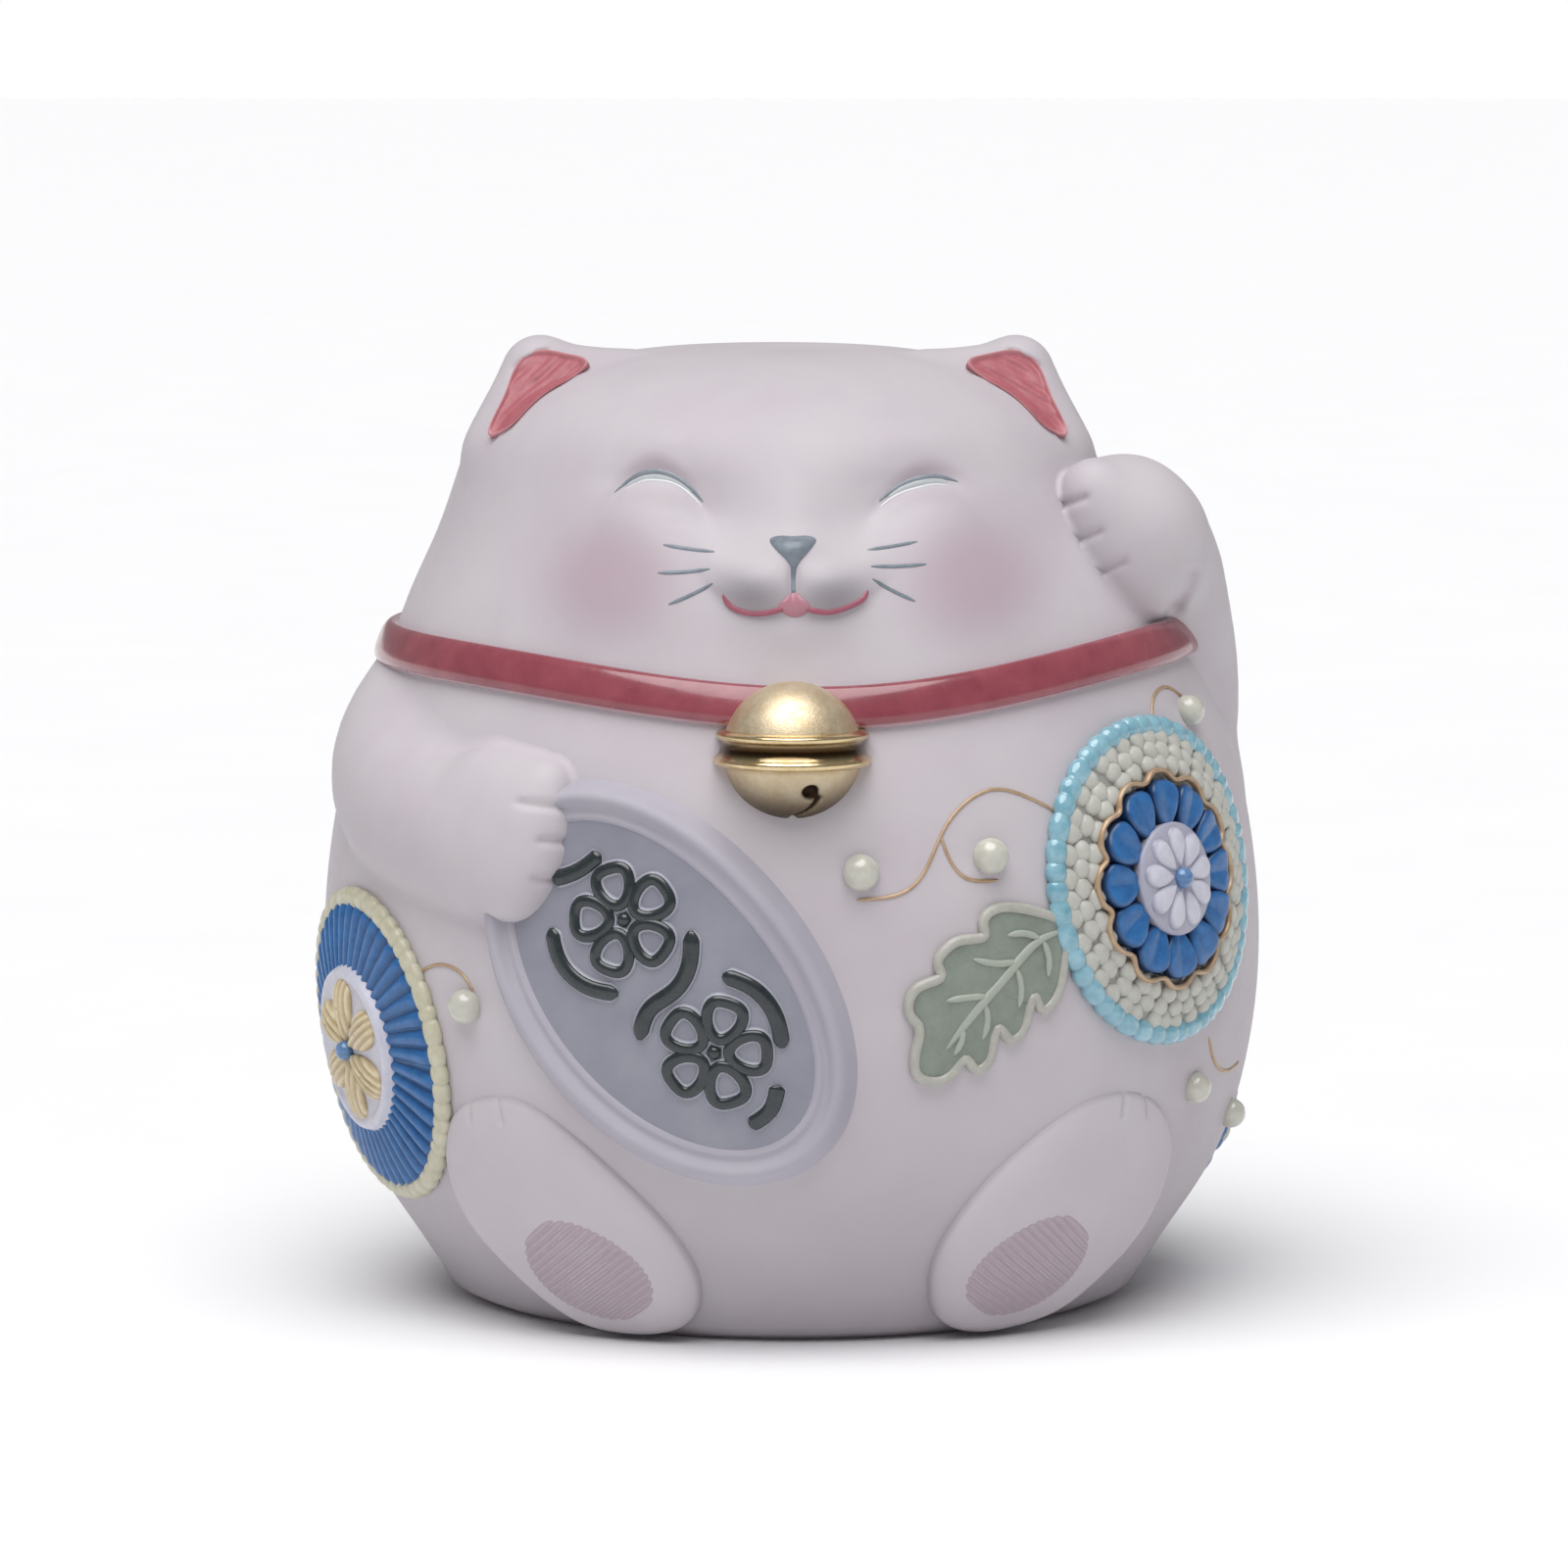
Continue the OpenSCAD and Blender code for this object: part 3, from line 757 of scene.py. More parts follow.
NOSE = [(-3.7, 137.9), (-2.3, 138.5), (0.0, 138.4), (2.4, 138.5), (3.8, 137.9), (3.3, 136.7), (1.9, 134.9),
        (0.8, 133.4), (0.2, 132.4), (-0.4, 133.4), (-1.6, 134.9), (-3.2, 136.7)]
MOUTH = [[(-11.3, 128.8), (-10.4, 127.4), (-7.4, 126.1), (-3.8, 126.2), (-0.8, 127.0)],
         [(1.8, 126.8), (6, 126.3), (9.4, 127.2), (11.6, 128.4), (12.3, 129.4)]]
TONGUE = [(0.2, 129.2), (1.7, 128.2), (2.9, 126.9), (2.1, 125.8), (0.4, 125.3), (-1.3, 125.8), (-2.3, 126.9),
          (-1.2, 128.2)]
WHISKERS = [((-21.2, 136.8), (-12.9, 135.8)), ((-22.1, 132.1), (-13.5, 132.9)),
            ((-20.5, 127.1), (-13, 130.6)), ((12.4, 136.1), (20.5, 137.3)), ((12.8, 133.3), (22, 133.5)),
            ((13, 131.3), (20.4, 127.6))]


def face_pad(points, count, middle, power):
    """Small closed pad on the face."""
    return pad(face, smooth_line(points, count, True), shares(12),
               lambda flat, t: 0.8 * np.sqrt(1.02 - t ** power) - 0.05, -0.5, middle)


def eyes():
    """Each closed eye: a grey line along the crease, the pale band under it, and the band's lower edge in
    white as a painted highlight.
    """
    lash_and_crease_shadow, lid, lower = [], [], []
    for middle, reach in ((EYE_RIGHT, (-7.6, 7.2)), (EYE_LEFT, (-6.5, 6.8))):
        off = np.linspace(*reach, 9)
        xs = middle + np.sign(middle) * off

        def arc(rise, half_wide, half_high, taper, part=slice(None)):
            line = np.stack([xs, eye_height(xs) + rise], 1)[part]
            return line_on(face, line, half_wide, half_high, taper=taper, count=60)

        # The grey line is partly the painted eyelash line and partly painted shade in the lid's crease; its
        # middle is painted paler and softer.
        lash_and_crease_shadow.append(arc(0.1, 0.48, 0.26, 16))
        lid.append(arc(0.05 * np.abs(off) - 0.75, 0.72, 0.22, 14, slice(1, -1)))
        lower.append(arc(0.08 * np.abs(off) - 1.5, 0.26, 0.2, 14, slice(-1)))
    fade = 0.3 * np.sin(np.pi * np.linspace(0.0, 1.0, 60)) ** 1.5
    make_piece("eyelids", lash_and_crease_shadow, FACE_GREY, ["eyelid_left", "eyelid_right"],
               shade=np.tile(np.append(np.repeat(fade, 8), [0, 0]), 2))
    make_piece("eyelid_bands", lid, EYE_PALE, [])
    # Painted highlight: the white lower edge of each lid band, where the cheek's crest catches the light.
    make_piece("eyelid_edges", lower, EYE_PALE, [], shade=1)


def face_features():
    eyes()
    philtrum = line_on(face, [(0.2, 133.4), (0.15, 131), (0.3, 129.0)], 0.62, 0.34)
    make_piece("nose", [face_pad(NOSE, 72, (0.2, 136), 3), philtrum], FACE_GREY)
    make_piece("mouth", [line_on(face, path, 0.62, 0.4, taper=5) for path in MOUTH], LIP_PINK, ["mouth_line"])
    make_piece("tongue", [face_pad(TONGUE, 48, (0.4, 127), 2)], LIP_PINK, shade=0.65)
    hairs = [line_on(face, [p, ((p[0] + q[0]) / 2, (p[1] + q[1]) / 2 - 0.12), q], 0.36, 0.2, 0.0, 8, 5, 24)
             for p, q in WHISKERS]
    make_piece("whisker_lines", hairs, FACE_GREY, ["whiskers"])


# ---------------- ears, arms, tail

EAR_MIDDLE = -2.5
# Corners of the ear's core: tip, inner root, outer root, back root; then the plane of its lining
EAR = np.array([(41.9, -9, 163.7), (29.0, -9, 160.6), (47.8, -13, 150.5), (38, 4, 152)])
EAR_R = 6.4
LINING = np.array([(43.8, -13.5, 167.2), (33.2, -19.0, 165.2), (49.9, -22.5, 153.4)])
LINING_LINE = [(33.2, 165.9), (36.5, 167.3), (40, 167.9), (43.8, 167.2), (46, 164.8), (48.1, 159.5),
               (49.9, 153.4), (47.6, 154.3), (44, 157.6), (40.2, 160.9), (34.2, 164.7)]


def mirrored_x(points, sign):
    """Points at their distance from the head's middle line, on one side of it."""
    out = np.array(points, float)
    out[..., 0] = EAR_MIDDLE + sign * out[..., 0]
    return out


def clear_of_head(points, gap):
    """Points moved forward until they stand clear of the head's smooth form."""
    points = points.copy()
    for _ in range(8):
        points[..., 1] -= 1.3 * np.clip(gap - form_distance(points), 0, None)
    return points


def ears():
    for sign, side in ((1, "left"), (-1, "right")):
        apex, root, outer, back = mirrored_x(EAR, sign)
        top, inner, tip = mirrored_x(LINING, sign)
        normal = np.cross(inner - top, tip - top)
        normal *= -np.sign(normal[1]) / np.linalg.norm(normal)
        line = mirrored_x([(x, 0, z) for x, z in LINING_LINE], sign)
        line[:, 1] = top[1] - ((line - top)[:, [0, 2]] @ normal[[0, 2]]) / normal[1]
        crown, low_corner, far, near_corner = line[[2, 6, 4, 0]]

        def shape(p):
            front = triangle_distance(p, apex, root, outer)
            return soft_min(front - EAR_R, triangle_distance(p, apex, outer, back) - EAR_R, 2.0)

        def recess(p):
            deep = (p - top) @ normal
            p = p - deep[..., None] * normal
            flat = np.minimum(triangle_distance(p, crown, near_corner, low_corner),
                              triangle_distance(p, crown, low_corner, far))
            return np.maximum(flat - 0.9, -deep - 0.3)

        ends = np.sort(EAR_MIDDLE + sign * np.array([EAR[:3, 0].min() - 10, EAR[:3, 0].max() + 10]))
        fused_piece(f"ear_{side}", shape, (ends[0], -34, 140), (ends[1], 18, 173), 0.6, lambda p: 5.0,
                    cut=recess)
        centre = (top + inner + tip) / 3
        along = (tip - inner) / np.linalg.norm(tip - inner)
        across = np.cross(normal, along)
        line = smooth_line(line, 160, True)
        t = np.linspace(0.03, 1, 34)[:, None]
        floor = centre + (line - centre) * t[..., None]
        a, b = (floor - centre) @ along, (floor - centre) @ across
        stroke = 0.13 * np.sin(1.9 * b + 0.6 * np.sin(0.8 * a)) + 0.08 * np.sin(3.1 * b - 0.5 * a)
        rim = np.exp(-((1 - t) / 0.08) ** 2)
        lift = 0.15 + stroke * (1 - t ** 8) + 0.35 * rim
        upper = clear_of_head(floor + normal * lift[..., None], 0.4)
        upper[..., 1] -= 0.3 * rim
        lower = centre + (line - centre) * np.array([1, 0.1])[:, None, None] - normal * 0.9
        make_piece(f"ear_lining_{side}", [grid_solid(np.concatenate([upper, lower]))], EAR_PINK,
                   shade=0.85 * np.exp(-((1 - t) / 0.07) ** 2) + 0 * a)


def front_grooves(lines, wide, deep, behind):
    """Field term that presses rounded creases, given as lines of (x, z), into the side nearer the viewer."""
    def carve(p):
        total = sum(deep * np.exp(-(line_distance(p[..., [0, 2]], np.array(line, float)) / wide) ** 2)
                    for line in lines)
        return total * step_up(behind - p[..., 1], 1.0)
    return carve


# Spines as (x, y, z, radius), finger tips as (root, tip, radius), creases as lines of (x, z)
RAISED = [(66, 8, 86, 12.5), (67, 4, 102, 13.1), (66, -2, 114, 13.3), (64, -9, 124, 13.3),
          (62, -17, 132, 12.8), (58, -23.5, 138, 12.2)]
PALM = (60.0, -26, 136, 12.2)
RAISED_FINGERS = [((57, -26, 141), (52.0, -32, 144.6), 5.8), ((58.5, -27, 137.5), (54.0, -31.5, 139.2), 5.6),
                  ((60.5, -27, 134), (56.5, -30, 133.7), 5.6), ((63, -26, 131), (60.8, -28, 128.8), 6.2)]
RAISED_CREASES = [[(46.8, 142.1), (50.6, 143.6)], [(49.0, 136.1), (53.2, 137.8)],
                  [(52.4, 130.2), (57.3, 132.5)]]
RAISED_FOLD = [[(69.2, 130.0), (68.6, 127.5), (66.8, 124.0)]]
HOLDING = [(-60, 6, 104, 14), (-63.5, -9.5, 99.5, 16), (-63.7, -24.5, 92.8, 17.0), (-58.5, -41.5, 87.8, 15.8),
           (-51, -53.5, 86.6, 14.8), (-47, -58.5, 86.2, 13.6)]
HOLDING_FINGERS = [((-49.5, -59, 96.6), (-41.4, -67.2, 97.0), 4.8),
                   ((-50, -58, 90.5), (-43.4, -68, 91.0), 5.8),
                   ((-50, -58, 85), (-43.8, -69, 84.8), 5.8), ((-51, -58, 81), (-47, -68, 79.6), 6.0)]
HOLDING_CREASES = [[(-46.0, 94.4), (-36, 93.2)], [(-42.2, 88.2), (-36, 87.4)], [(-43.4, 81.7), (-38, 81)]]
TAIL = [(-15, 62, 13.5, 8), (-5, 71.5, 12, 8.3), (9, 73.5, 12.5, 8.2), (20.5, 71, 18, 7.9),
        (25.5, 69.5, 27, 7.3), (23.5, 73, 36, 6.4)]


def with_fingers(p, limb, fingers, reach):
    """Distance from a limb and its finger tips, each given as (root, tip, radius)."""
    for root, tip, size in fingers:
        finger = np.array([(*root, size + 1.5), (*tip, size)], float)
        limb = soft_min(limb, limb_distance(p, finger), reach)
    return limb


def raised_arm():
    spine = smooth_line(RAISED, 14)

    def shape(p):
        palm = np.linalg.norm(p - PALM[:3], axis=-1) - PALM[3]
        return with_fingers(p, soft_min(limb_distance(p, spine), palm, 5.0), RAISED_FINGERS, 6.0) + 0.6

    def reach(p):
        return 1.3 + 4.5 * ease((104 - p[..., 2]) / 16)

    between = front_grooves(RAISED_CREASES, 0.7, 0.75, -20)
    fold = front_grooves(RAISED_FOLD, 1.7, 1.6, -12)
    fused_piece("raised_left_arm", shape, (30, -54, 64), (84, 28, 156), 0.7, reach,
                lambda p: between(p) + fold(p))


def holding_arm():
    spine = smooth_line(HOLDING, 14)

    def shape(p):
        return with_fingers(p, limb_distance(p, spine), HOLDING_FINGERS, 6.5) + 0.5

    def reach(p):
        return 1.2 + 3.0 * ease((p[..., 2] - 92) / 14) * ease((p[..., 1] + 62) / 30)

    fused_piece("right_arm", shape, (-86, -86, 62), (-28, 22, 126), 0.7, reach,
                front_grooves(HOLDING_CREASES, 0.7, 0.65, -50))


def tail():
    spine = smooth_line(TAIL, 18)
    fused_piece("tail", lambda p: limb_distance(p, spine), (-30, 48, 0.6), (44, 88, 52), 0.75, lambda p: 1.8)


# ---------------- feet and coin

FEET = {
    "right": ((-31.5, 20), [(-46, 38.9), (-38.8, 43.2), (-33.9, 42.8), (-28.8, 39.1), (-22, 31.1),
                            (-16.7, 22.9), (-13.8, 15.5), (-13.4, 9.6), (-16.0, 4.0), (-20.5, 1.9),
                            (-26.5, 1.5), (-33.1, 2.6), (-38.5, 6.4), (-45.1, 14.9), (-48.4, 22), (-49, 30)]),
    "left": ((35, 20), [(45.2, 43.1), (52.3, 38.6), (55.9, 32), (56.7, 24.3), (55.2, 16.1), (50.4, 9.3),
                        (43.9, 3.9), (36.6, 1.9), (28.5, 1.6), (22.9, 4.4), (20.2, 10.5), (20.1, 18.4),
                        (23.4, 27.4), (29.8, 36.1), (37.1, 41.9)]),
}
SOLES = {"right": ((-28.8, 15), -27, 128), "left": ((33.9, 15.2), 27, 232)}
TOE_CREASES = {"right": [((-37.9, 43.5), (-37.0, 39.2)), ((-42.6, 42.0), (-42.2, 38.6))],
               "left": [((44.0, 43.2), (43.5, 39.4)), ((47.9, 42.2), (48.2, 38.8))]}
FOOT_COUNT = 300
RIB_PITCH = 1.3


def foot_height(side, flat, t):
    """Relief of a foot: low at the toes, high at the heel, with a wider flank on its inner side."""
    a, b = flat[..., 0], flat[..., 1]
    tall = np.interp(b, (-14, 0, 22), (4.4, 3.6, 1.7))
    inwards = a if side == "right" else -a
    flank = 0.73 - 0.12 * np.cos(np.arctan2(b, inwards) - 0.6)
    top = tall * np.sqrt(np.clip(1 - (np.clip(t - flank, 0, None) / (1 - flank)) ** 2.0, 0, 1))
    for line in flat_from(FEET[side][0], TOE_CREASES[side]):
        top = top - 0.6 * np.exp(-(line_distance(flat, line) / 0.5) ** 2)
    return top - 0.15 * step_up(t - 0.985, 0.004)


def feet():
    """Feet in low relief, each with a sole pad whose ribs run across it at a slope."""
    for side, (place, points) in FEET.items():
        grow = np.concatenate([np.linspace(0.04, 0.5, 10), np.linspace(0.52, 1, 40)])
        solid = cushion(place, smooth_line(flat_from(place, points), FOOT_COUNT, True),
                        lambda flat, t: foot_height(side, flat, t), grow=grow)
        # Painted shade in the crease where each foot's edge meets the body.
        rim_shade = 0.35 * ease((grow - 0.96) / 0.04)
        make_piece(f"foot_{side}", [solid], PORCELAIN, shade=np.repeat(rim_shade, FOOT_COUNT))
        at, turn, slope = SOLES[side]
        middle = flat_from(place, at)
        outline = middle + np.stack(turned(*oval(12.0, 10.2, 260, 2.1).T, turn), 1)
        t = np.linspace(0.03, 1, 72)

        def wave(flat):
            return np.cos(TAU * ((flat - middle) @ polar(1, np.radians(slope))) / RIB_PITCH)

        def ribbed(flat, t):
            edge = ease((1 - t) / 0.07)
            return foot_height(side, flat, 0.3) + (0.13 * wave(flat) + 0.12) * edge - 0.15 * (1 - edge)

        # Painted shade in the sole's furrows between the ribs and round the pad's edge.
        furrow_shade = 0.35 * (1 - wave(middle + (outline - middle) * t[:, None, None]))
        make_piece(f"sole_{side}", [pad(on_patch(place), outline, t, ribbed, 0.5, middle, t[[-1, 0]])], SOLE,
                   [f"sole_pad_{side}"], shade=np.maximum(furrow_shade, 0.8 * ease((t[:, None] - 0.93) / 0.07)))


COIN_AT = (-15.8, 64.0)  # azimuth and height, as in the CAD
COIN_TURN = -47.0
COIN_A, COIN_B = 38.5, 25.0
COIN_RIM = 6.4
# Section of the rim: heights at the shares RIM_AT of its width, from the field outwards
RIM_AT = np.array([0, 0.08, 0.16, 0.34, 0.44, 0.54, 0.68, 0.86, 1.0])
RIM_HIGH = np.array([[0.4], [1.3], [1.75], [1.9], [3.0], [3.4], [2.9], [1.1], [-0.1]])
ORNAMENT_AT = (COIN_AT[0] + 1.5, COIN_AT[1])
BLOSSOMS = [((-13.5, 2.0), 12), ((13.0, -1.5), 48)]
BLOSSOM_R = 8.2
BLOSSOM_PETAL = [(0.3, 0), (0.62, 0.33), (1.0, 0.3), (1.08, 0), (1.0, -0.3), (0.62, -0.33)]
CURVES = [([(-27, -3.5), (-25, 1.0), (-24.5, 6)], 1.4),
          ([(-21, -9), (-15.5, -11.5), (-9.5, -10.5), (-5, -7)], 1.4),
          ([(-4.5, 9.5), (-0.5, 5.5), (1.0, 0.5), (0.5, -4.5), (3.0, -9.5)], 1.45),
          ([(4.5, 8.5), (9.5, 10.8), (15.5, 10.3), (20, 7.5)], 1.4),
          ([(24.0, 2.5), (26.2, -1.5), (25.8, -6)], 1.4)]


def coin():
    """Oval coin: raised rim, sunk field, and a generic ornament of two blossoms and curved strokes."""
    def grown(by, count=260):
        return oval(COIN_A + by, COIN_B + by, count, 2.06)

    rim = band(COIN_AT, grown(-COIN_RIM), grown(1.6),
               lambda flat, t: natural_spline(RIM_AT, RIM_HIGH, t.ravel()), 34, COIN_TURN)
    make_piece("coin_rim", [rim], COIN_BISQUE)
    plate = cushion(COIN_AT, grown(0.6 - COIN_RIM, 200), lambda flat, t: 0.95 + 0.25 * t ** 4, 22, COIN_TURN)
    make_piece("coin_field", [plate], COIN_LILAC)
    surface = on_patch(ORNAMENT_AT, COIN_TURN)
    ink, edges = [], []

    def stroke(points, wide, closed=False, count=50):
        edges.append(line_on(surface, points, wide + 0.45, 0.7, 0.95, 8, 4, count, closed))
        ink.append(line_on(surface, points, wide, 0.62, 1.4, 10, 4, count, closed))

    for middle, spin in BLOSSOMS:
        for k in range(5):
            petal = np.stack(turned(*(BLOSSOM_R * np.array(BLOSSOM_PETAL)).T, spin + 72 * k), 1)
            stroke(middle + petal, 1.05, True, 40)
    for points, wide in CURVES:
        stroke(points, wide)
    for middle, _ in BLOSSOMS:
        ink.append(pad(surface, middle + oval(1.2, 1.2, 20), shares(8),
                       lambda flat, t: 0.9 + 1.1 * np.sqrt(1.02 - t * t), -0.4, middle))
    make_piece("coin_stroke_edges", edges, COIN_LILAC, [], shade=1)
    make_piece("coin_ornament", ink, INK)


# ---------------- collar and bell

COLLAR_HIGH, COLLAR_OUT = 3.8, 2.4


def collar():
    """Flat band over the joint, with paler upper and lower edges."""
    az = np.arange(0, 360, 0.9)
    t = np.linspace(0, TAU, 29)[:-1][:, None]
    c, s = np.cos(t), np.sin(t)
    walk = seam_walk(az) + COLLAR_HIGH * np.sign(c) * np.abs(c) ** 0.75
    out = np.where(s > 0, COLLAR_OUT * np.abs(s) ** 0.55, -1.2 * np.abs(s))
    edge = np.exp(-((np.abs(c) - 1) / 0.05) ** 2) * (s > -0.1)
    make_piece("collar", [grid_solid(on_form(az[None], walk, out), loop=True)], COLLAR_RED,
               shade=0.85 * edge + 0 * az)


BELL = node_centre("bell_ball")
BELL_R = 11.7
BELL_BAND = [(10.4, -2.5), (12.4, -2.4), (13.3, -1.9), (13.4, -1.3), (12.9, -0.8), (12.3, -0.1), (12.0, 0.9),
             (12.3, 2.0), (12.8, 2.5), (12.9, 3.0), (12.4, 3.4), (10.4, 3.5)]
BELL_HOLE_R, BELL_SLIT_R = 1.5, 0.75
BELL_SLIT = [(18, -6.2), (30, -7.6), (26, -9.3), (0, -10.8)]


def bell():
    """Ball with a round hole that runs out into a slit, and the double lip round its middle."""
    az, z = np.array(BELL_SLIT).T
    flat = np.sqrt(BELL_R ** 2 - z ** 2)
    slit = BELL + np.stack([flat * np.sin(np.radians(az)), -flat * np.cos(np.radians(az)), z], 1)

    def field(p):
        ball = np.linalg.norm(p - BELL, axis=-1) - BELL_R
        waist = 0.25 * np.exp(-((np.abs(p[..., 2] - BELL[2]) - 2.2) / 0.5) ** 2)
        hole = np.linalg.norm(p - slit[0], axis=-1) - BELL_HOLE_R
        return soft_max(ball + waist, -soft_min(line_distance(p, slit) - BELL_SLIT_R, hole, 0.5), 0.5)

    points, faces = net(field, BELL - 13, BELL + 13, 0.36)
    deep = BELL_R - np.linalg.norm(points - BELL, axis=1)
    # Painted shade inside the hole and slit, and on the ball's lower half, darker towards the bottom.
    shade = np.maximum(ease((deep - 0.15) / 0.5), 0.9 * ease((BELL[2] - points[:, 2]) / 12))
    make_piece("bell_ball", [(points, faces)], GOLD, shade=shade)
    r, rise = smooth_line(BELL_BAND, 64, True)[:, :, None].transpose(1, 0, 2)
    a = np.radians(np.arange(0, 360, 2.0))
    rows = BELL + np.stack([r * np.sin(a), -r * np.cos(a), rise + 0 * a], -1)
    # Painted dark reflection in the groove between the band's two lips.
    dark_reflection = np.exp(-((rise - 0.75) / 1.35) ** 4) * (r > BELL_R)
    make_piece("bell_band", [grid_solid(rows, loop=True)], GOLD_BAND, shade=dark_reflection + 0 * a)


# ---------------- flowers, leaves, pearls, vines

def wavy_rope(place, radius, half_wide, half_high, lumps, swell, seed, lift):
    """Lumpy ring: a rope pressed into beads of slightly uneven length and size."""
    rng = np.random.default_rng(seed)
    gaps = 1 + 0.22 * rng.standard_normal(lumps).clip(-1.5, 1.5)
    bounds = np.concatenate([[0], np.cumsum(gaps)])
    bounds *= TAU / bounds[-1]
    sizes = 1 + 0.1 * rng.standard_normal(lumps)
    per = 11
    t = np.concatenate([np.linspace(p, q, per + 1)[:-1] for p, q in zip(bounds[:-1], bounds[1:])])
    phase = np.tile(np.arange(per) / per, lumps)
    bulge = 1 + swell * (np.abs(np.sin(np.pi * phase)) ** 0.6 - 0.75) * np.repeat(sizes, per)
    angle = np.linspace(0, TAU, 15)[:-1][:, None]
    flat = polar(radius + half_wide * bulge * np.cos(angle), t)
    return grid_solid(lay_on(place, flat, lift + half_high * bulge * np.sin(angle)), loop=True)


def petal_outline(inner, outer, half_wide, count, tip):
    """Petal along +a from inner to outer radius, widest at share tip of its length."""
    t = np.arange(count) * TAU / count
    along = (1 - np.cos(t)) / 2
    width = np.where(along < tip, np.sin(np.pi / 2 * np.clip(along / tip, 0, 1)) ** 0.9,
                     np.sqrt(np.clip(1 - ((along - tip) / (1 - tip)) ** 2, 0, 1)))
    return np.stack([inner + (outer - inner) * along, half_wide * width * np.sign(np.sin(t))], 1)


def petals(place, inner, outer, half_wide, angles, height, tip, rings, sunk, count):
    """Closed petals at the given angles; height(u, v, t): u along from 0 to 1, v across from -1 to
    1, t to the edge."""
    def top(flat, t):
        return height((flat[..., 0] - inner) / (outer - inner), flat[..., 1] / half_wide, t)

    outline = petal_outline(inner, outer, half_wide, count, tip)
    middle = (inner + (outer - inner) * tip * 0.8, 0.0)
    return [pad(on_patch(place, angle), outline, shares(rings), top, sunk, middle) for angle in angles]


def ball(place, radius, rise, flat=1.0):
    """Ball standing on the body at place; its middle is raised by rise."""
    tilt = np.radians(np.linspace(6, 150, 14))[:, None]
    t = np.arange(28) * TAU / 28
    return grid_solid(lay_on(place, polar(radius * np.sin(tilt), t), rise + flat * radius * np.cos(tilt)))


def dome(t, base, high, power):
    return base + high * np.sqrt(np.clip(1.001 - t ** power, 0, None))


LEFT_R = 28.5
PETALS = 12
SCALE_ROWS = [(24.2, 41), (21.8, 37), (19.4, 33)]


def edge_shade_pattern(rings, count, start=0.8):
    """Painted shade on one petal's points: none inside, full at the rim and underneath."""
    return np.append(np.repeat(np.append(ease((shares(rings) - start) / (1 - start)), [1, 1]), count), [0, 1])


def left_flower():
    az, z = place_of("left_flower_bead")
    place = (az, z - 1.4)
    make_piece("left_flower_rim", [wavy_rope(place, LEFT_R - 2.0, 1.9, 1.5, 48, 0.3, 3, 0.8)], TURQUOISE)
    plate = cushion(place, ring_outline(LEFT_R - 2.6, 160), lambda flat, t: 1.2 + 0.9 * (1 - t ** 2), 16)
    scales = [plate]
    rng = np.random.default_rng(8)
    for row, (radius, count) in enumerate(SCALE_ROWS):
        spins = (np.arange(count) + 0.5 * (row % 2) + 0.12 * rng.standard_normal(count)) * 360 / count
        scales += petals(place, radius - 2.3, radius + 1.9, 2.1, spins,
                         lambda u, v, t: dome(t, 0.9 + 0.35 * row, 1.35, 2.2), 0.6, 7, 0.6, 20)
    # Painted shade: the plate under the scales dark between them, and each scale darker at its rim.
    each = np.tile(0.45 * edge_shade_pattern(7, 20), len(scales) - 1)
    make_piece("left_flower_scales", scales, SCALE_CREAM,
               shade=np.append(np.full(len(plate[0]), 0.6), each))
    place = (place[0] - 1.0, place[1])
    wave = ring_outline(17.2, 280, PETALS, 1.1, 0.7)
    ring = line_on(on_patch(place), wave[::4], 0.45, 0.8, 2.9, 8, 0, 260, True)
    make_piece("left_flower_ring", [ring], GOLD_LINE)

    def creased(u, v, t):
        crease = 0.4 * np.exp(-(v / 0.2) ** 2) * (1 - 0.6 * u)
        return 2.2 + 1.3 * np.sqrt(np.clip(1.003 - t ** 5, 0, 1)) + 0.6 * u + 0.25 * v + 0.8 * v ** 2 - crease

    well = cushion(place, ring_outline(16.4, 120), lambda flat, t: 2.3 - 0.2 * t, 6)
    around = petals(place, 7.5, 16.9, 3.7, np.arange(PETALS) * 360 / PETALS, creased, 0.72, 14, 1.2, 48)
    # Painted shade: the well under the petals dark throughout, and each petal darker towards its rim.
    make_piece("left_flower_petals", [well] + around, COBALT,
               shade=np.append(np.ones(len(well[0])), np.tile(0.9 * edge_shade_pattern(14, 48, 0.82), PETALS)))
    centre = cushion(place, ring_outline(9.5, 160), lambda flat, t: dome(t, 3.6, 1.0, 5), 16)
    make_piece("left_flower_centre", [centre], WHITE_PETAL, shade=0.7)
    ribs = petals(place, 1.5, 8.8, 2.1, np.arange(9) * 40 + 12, lambda u, v, t: dome(t, 4.2, 1.2, 2.2),
                  0.68, 9, 3.5, 32)
    # Painted shade at the edges of the centre's ribs.
    make_piece("left_flower_ribs", ribs, WHITE_PETAL, ["left_flower_centre_petals"],
               shade=np.tile(0.9 * edge_shade_pattern(9, 32, 0.75), 9))
    make_piece("left_flower_bead", [ball(place, 1.8, 4.8)], BEAD_BLUE)


PLEATS = 44
PLEAT_RINGS = 14
STRIPED_PETAL = (1.4, 12.3, 3.3)
STRIPED_TIP = 0.68
STRIPED_RINGS, STRIPED_COUNT = 14, 72


